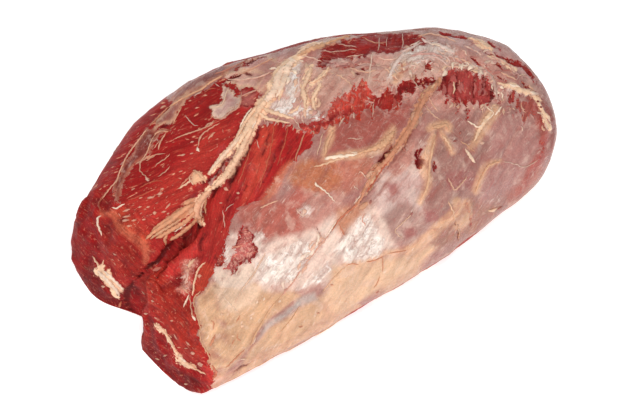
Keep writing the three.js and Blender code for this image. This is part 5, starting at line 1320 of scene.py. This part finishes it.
fringe(30, [(392, 72), (410, 66), (430, 66), (448, 66), (470, 60), (490, 64)], 4.0, 30, 60, (3, 9), [W, ROSE, ROSE, (176, 92, 84)], 0.36, 39)
fringe(18, [(392, 98), (404, 100), (420, 96), (436, 96), (446, 100)], 2.4, 70, 40, (3, 7), [(170, 84, 78), ROSE, (190, 120, 108)], 0.26, 40)
fringe(20, [(448, 104), (462, 108), (478, 108), (492, 106), (500, 112)], 1.8, 70, 30, (3, 7), [ROSE, W, C], 0.32, 41)
fringe(34, [(436, 84), (428, 94), (420, 108), (412, 128), (402, 142), (392, 154), (378, 168), (368, 184), (360, 200)], 1.8, 58, 14, (6, 17), [(224, 176, 138), (190, 116, 88), (214, 160, 124), (176, 92, 70)], 0.42, 42)
fringe(14, [(330, 222), (318, 240), (304, 262), (290, 284)], 2.0, 54, 14, (5, 14), [(214, 150, 116), (240, 212, 190)], 0.3, 43)
fringe(20, [(192, 261), (188, 271), (187, 281), (185, 290)], 2.4, 65, 50, (2.5, 6), [(240, 216, 198), (226, 178, 148), ROSE], 0.34, 44)
fringe(20, [(449, 84), (460, 88), (474, 88), (488, 90)], 2.8, 80, 9, (7, 16), [(188, 98, 92), (198, 124, 116), (126, 22, 26)], 0.3, 45)
fringe(38, [(318, 124), (332, 112), (344, 102), (356, 96), (370, 98), (384, 100), (398, 92), (412, 86)], 4.0, 55, 50, (4, 11), [(190, 94, 86), (206, 138, 126), (172, 62, 56)], 0.26, 46)
fringe(22, [(326, 64), (346, 64), (368, 66), (386, 64)], 2.2, -6, 8, (8, 22), [ROSE, (192, 142, 134), (158, 66, 62)], 0.26, 47)
fringe(26, [(470, 44), (492, 58), (512, 74), (500, 70), (478, 60), (460, 52)], 3.5, -28, 30, (4, 12), [ROSE, W, (170, 84, 80), (206, 166, 158)], 0.34, 48)
fringe(16, [(262, 124), (276, 122), (292, 128), (312, 132)], 1.8, 70, 30, (3, 7), [ROSE, C], 0.3, 38)

# the hidden sides
for _ in range(90):
    x, a = luck.uniform(-108, 96), luck.uniform(38, 150) if luck.random() < 0.8 else luck.uniform(300, 345)
    p, m = from_chart(x, a)
    if np.dot(m, EYE - p) / np.linalg.norm(EYE - p) > 0.12:
        continue
    line, w = [(x, a, 0.5)], luck.uniform(0.7, 1.8)
    slope = luck.normal(0, 0.5)
    for _ in range(luck.integers(2, 6)):
        x, a, slope = x + luck.uniform(4, 10), a + slope * 7 + luck.normal(0, 1.5), slope * 0.7 + luck.normal(0, 0.25)
        if x > 104:
            break
        line.append((x, a, w))
    if len(line) > 2:
        line[-1] = (*line[-1][:2], 0.4)
        lay_chart(strands, [W, C, T, O][luck.integers(4)], luck.uniform(0.3, 0.6), line)
for _ in range(240):
    x, a = luck.uniform(-110, 106), luck.uniform(34, 150)
    p, m = from_chart(x, a)
    i = np.argmin(((Q - p) ** 2).sum(1))
    if np.dot(m, EYE - p) / np.linalg.norm(EYE - p) > 0.12 or red[i] < 0.6 or fat[i] > 0:
        continue
    length, w, s = luck.uniform(1.2, 4.0), luck.uniform(0.5, 1.3), luck.normal(0, 0.25)
    lay_chart(flecks, [W, C, (236, 176, 146)][luck.integers(3)], 0.25, [(x - length / 2, a - s * length / 2, w * 0.7), (x, a, w), (x + length / 2, a + s * length / 2, w * 0.7)], 0.12, 6, max(0.4, length / 5))

strands.build("meat_strands")
flecks.build("meat_flecks")

# ---------------------------------------------------------------- floor, light, camera
scene = bpy.context.scene
bpy.ops.mesh.primitive_plane_add(size=8, location=(0, 0, -0.0005))
floor = bpy.context.object
floor.name = "floor"
white = Nodes("floor_white")
white.shader.inputs["Base Color"].default_value = (0.9, 0.9, 0.9, 1)
white.shader.inputs["Roughness"].default_value = 0.9
white.shader.inputs["Emission Color"].default_value = (1, 1, 1, 1)
white.shader.inputs["Emission Strength"].default_value = 0.48
floor.data.materials.append(white.mat)


def area(name, power_w, size, place, aim=(0, 0, 0.04), colour=(1, 1, 1)):
    light = bpy.data.lights.new(name, "AREA")
    light.energy, light.size, light.color = power_w, size, colour
    ob = bpy.data.objects.new(name, light)
    ob.location = place
    ob.rotation_euler = (Vector(aim) - Vector(place)).to_track_quat("-Z", "Y").to_euler()
    scene.collection.objects.link(ob)
    return ob


area("key", 6.4, 0.55, (-0.25, -0.85, 0.85))
area("top", 4.2, 0.5, (-0.55, 0.35, 1.1))
area("glint", 2.6, 0.12, (-0.15, -0.45, 1.25))
area("glint_low", 0.7, 0.10, (-0.75, -0.55, 0.55))
world = bpy.data.worlds.new("world")
scene.world = world
world.use_nodes = True
world.node_tree.nodes["Background"].inputs[0].default_value = (1, 1, 1, 1)
world.node_tree.nodes["Background"].inputs[1].default_value = 0.34
scene.view_settings.view_transform = "Standard"
scene.view_settings.look = "None"

lens = bpy.data.cameras.new("camera")
lens.lens, lens.sensor_width, lens.clip_start, lens.clip_end = CAM_LENS, 36.0, 0.05, 20.0
camera = bpy.data.objects.new("camera", lens)
scene.collection.objects.link(camera)
camera.matrix_world = Matrix(((RIGHT[0], UP[0], BACK[0], EYE[0] * 0.001), (RIGHT[1], UP[1], BACK[1], EYE[1] * 0.001),
                              (RIGHT[2], UP[2], BACK[2], EYE[2] * 0.001), (0, 0, 0, 1)))
scene.camera = camera

bpy.context.view_layer.update()
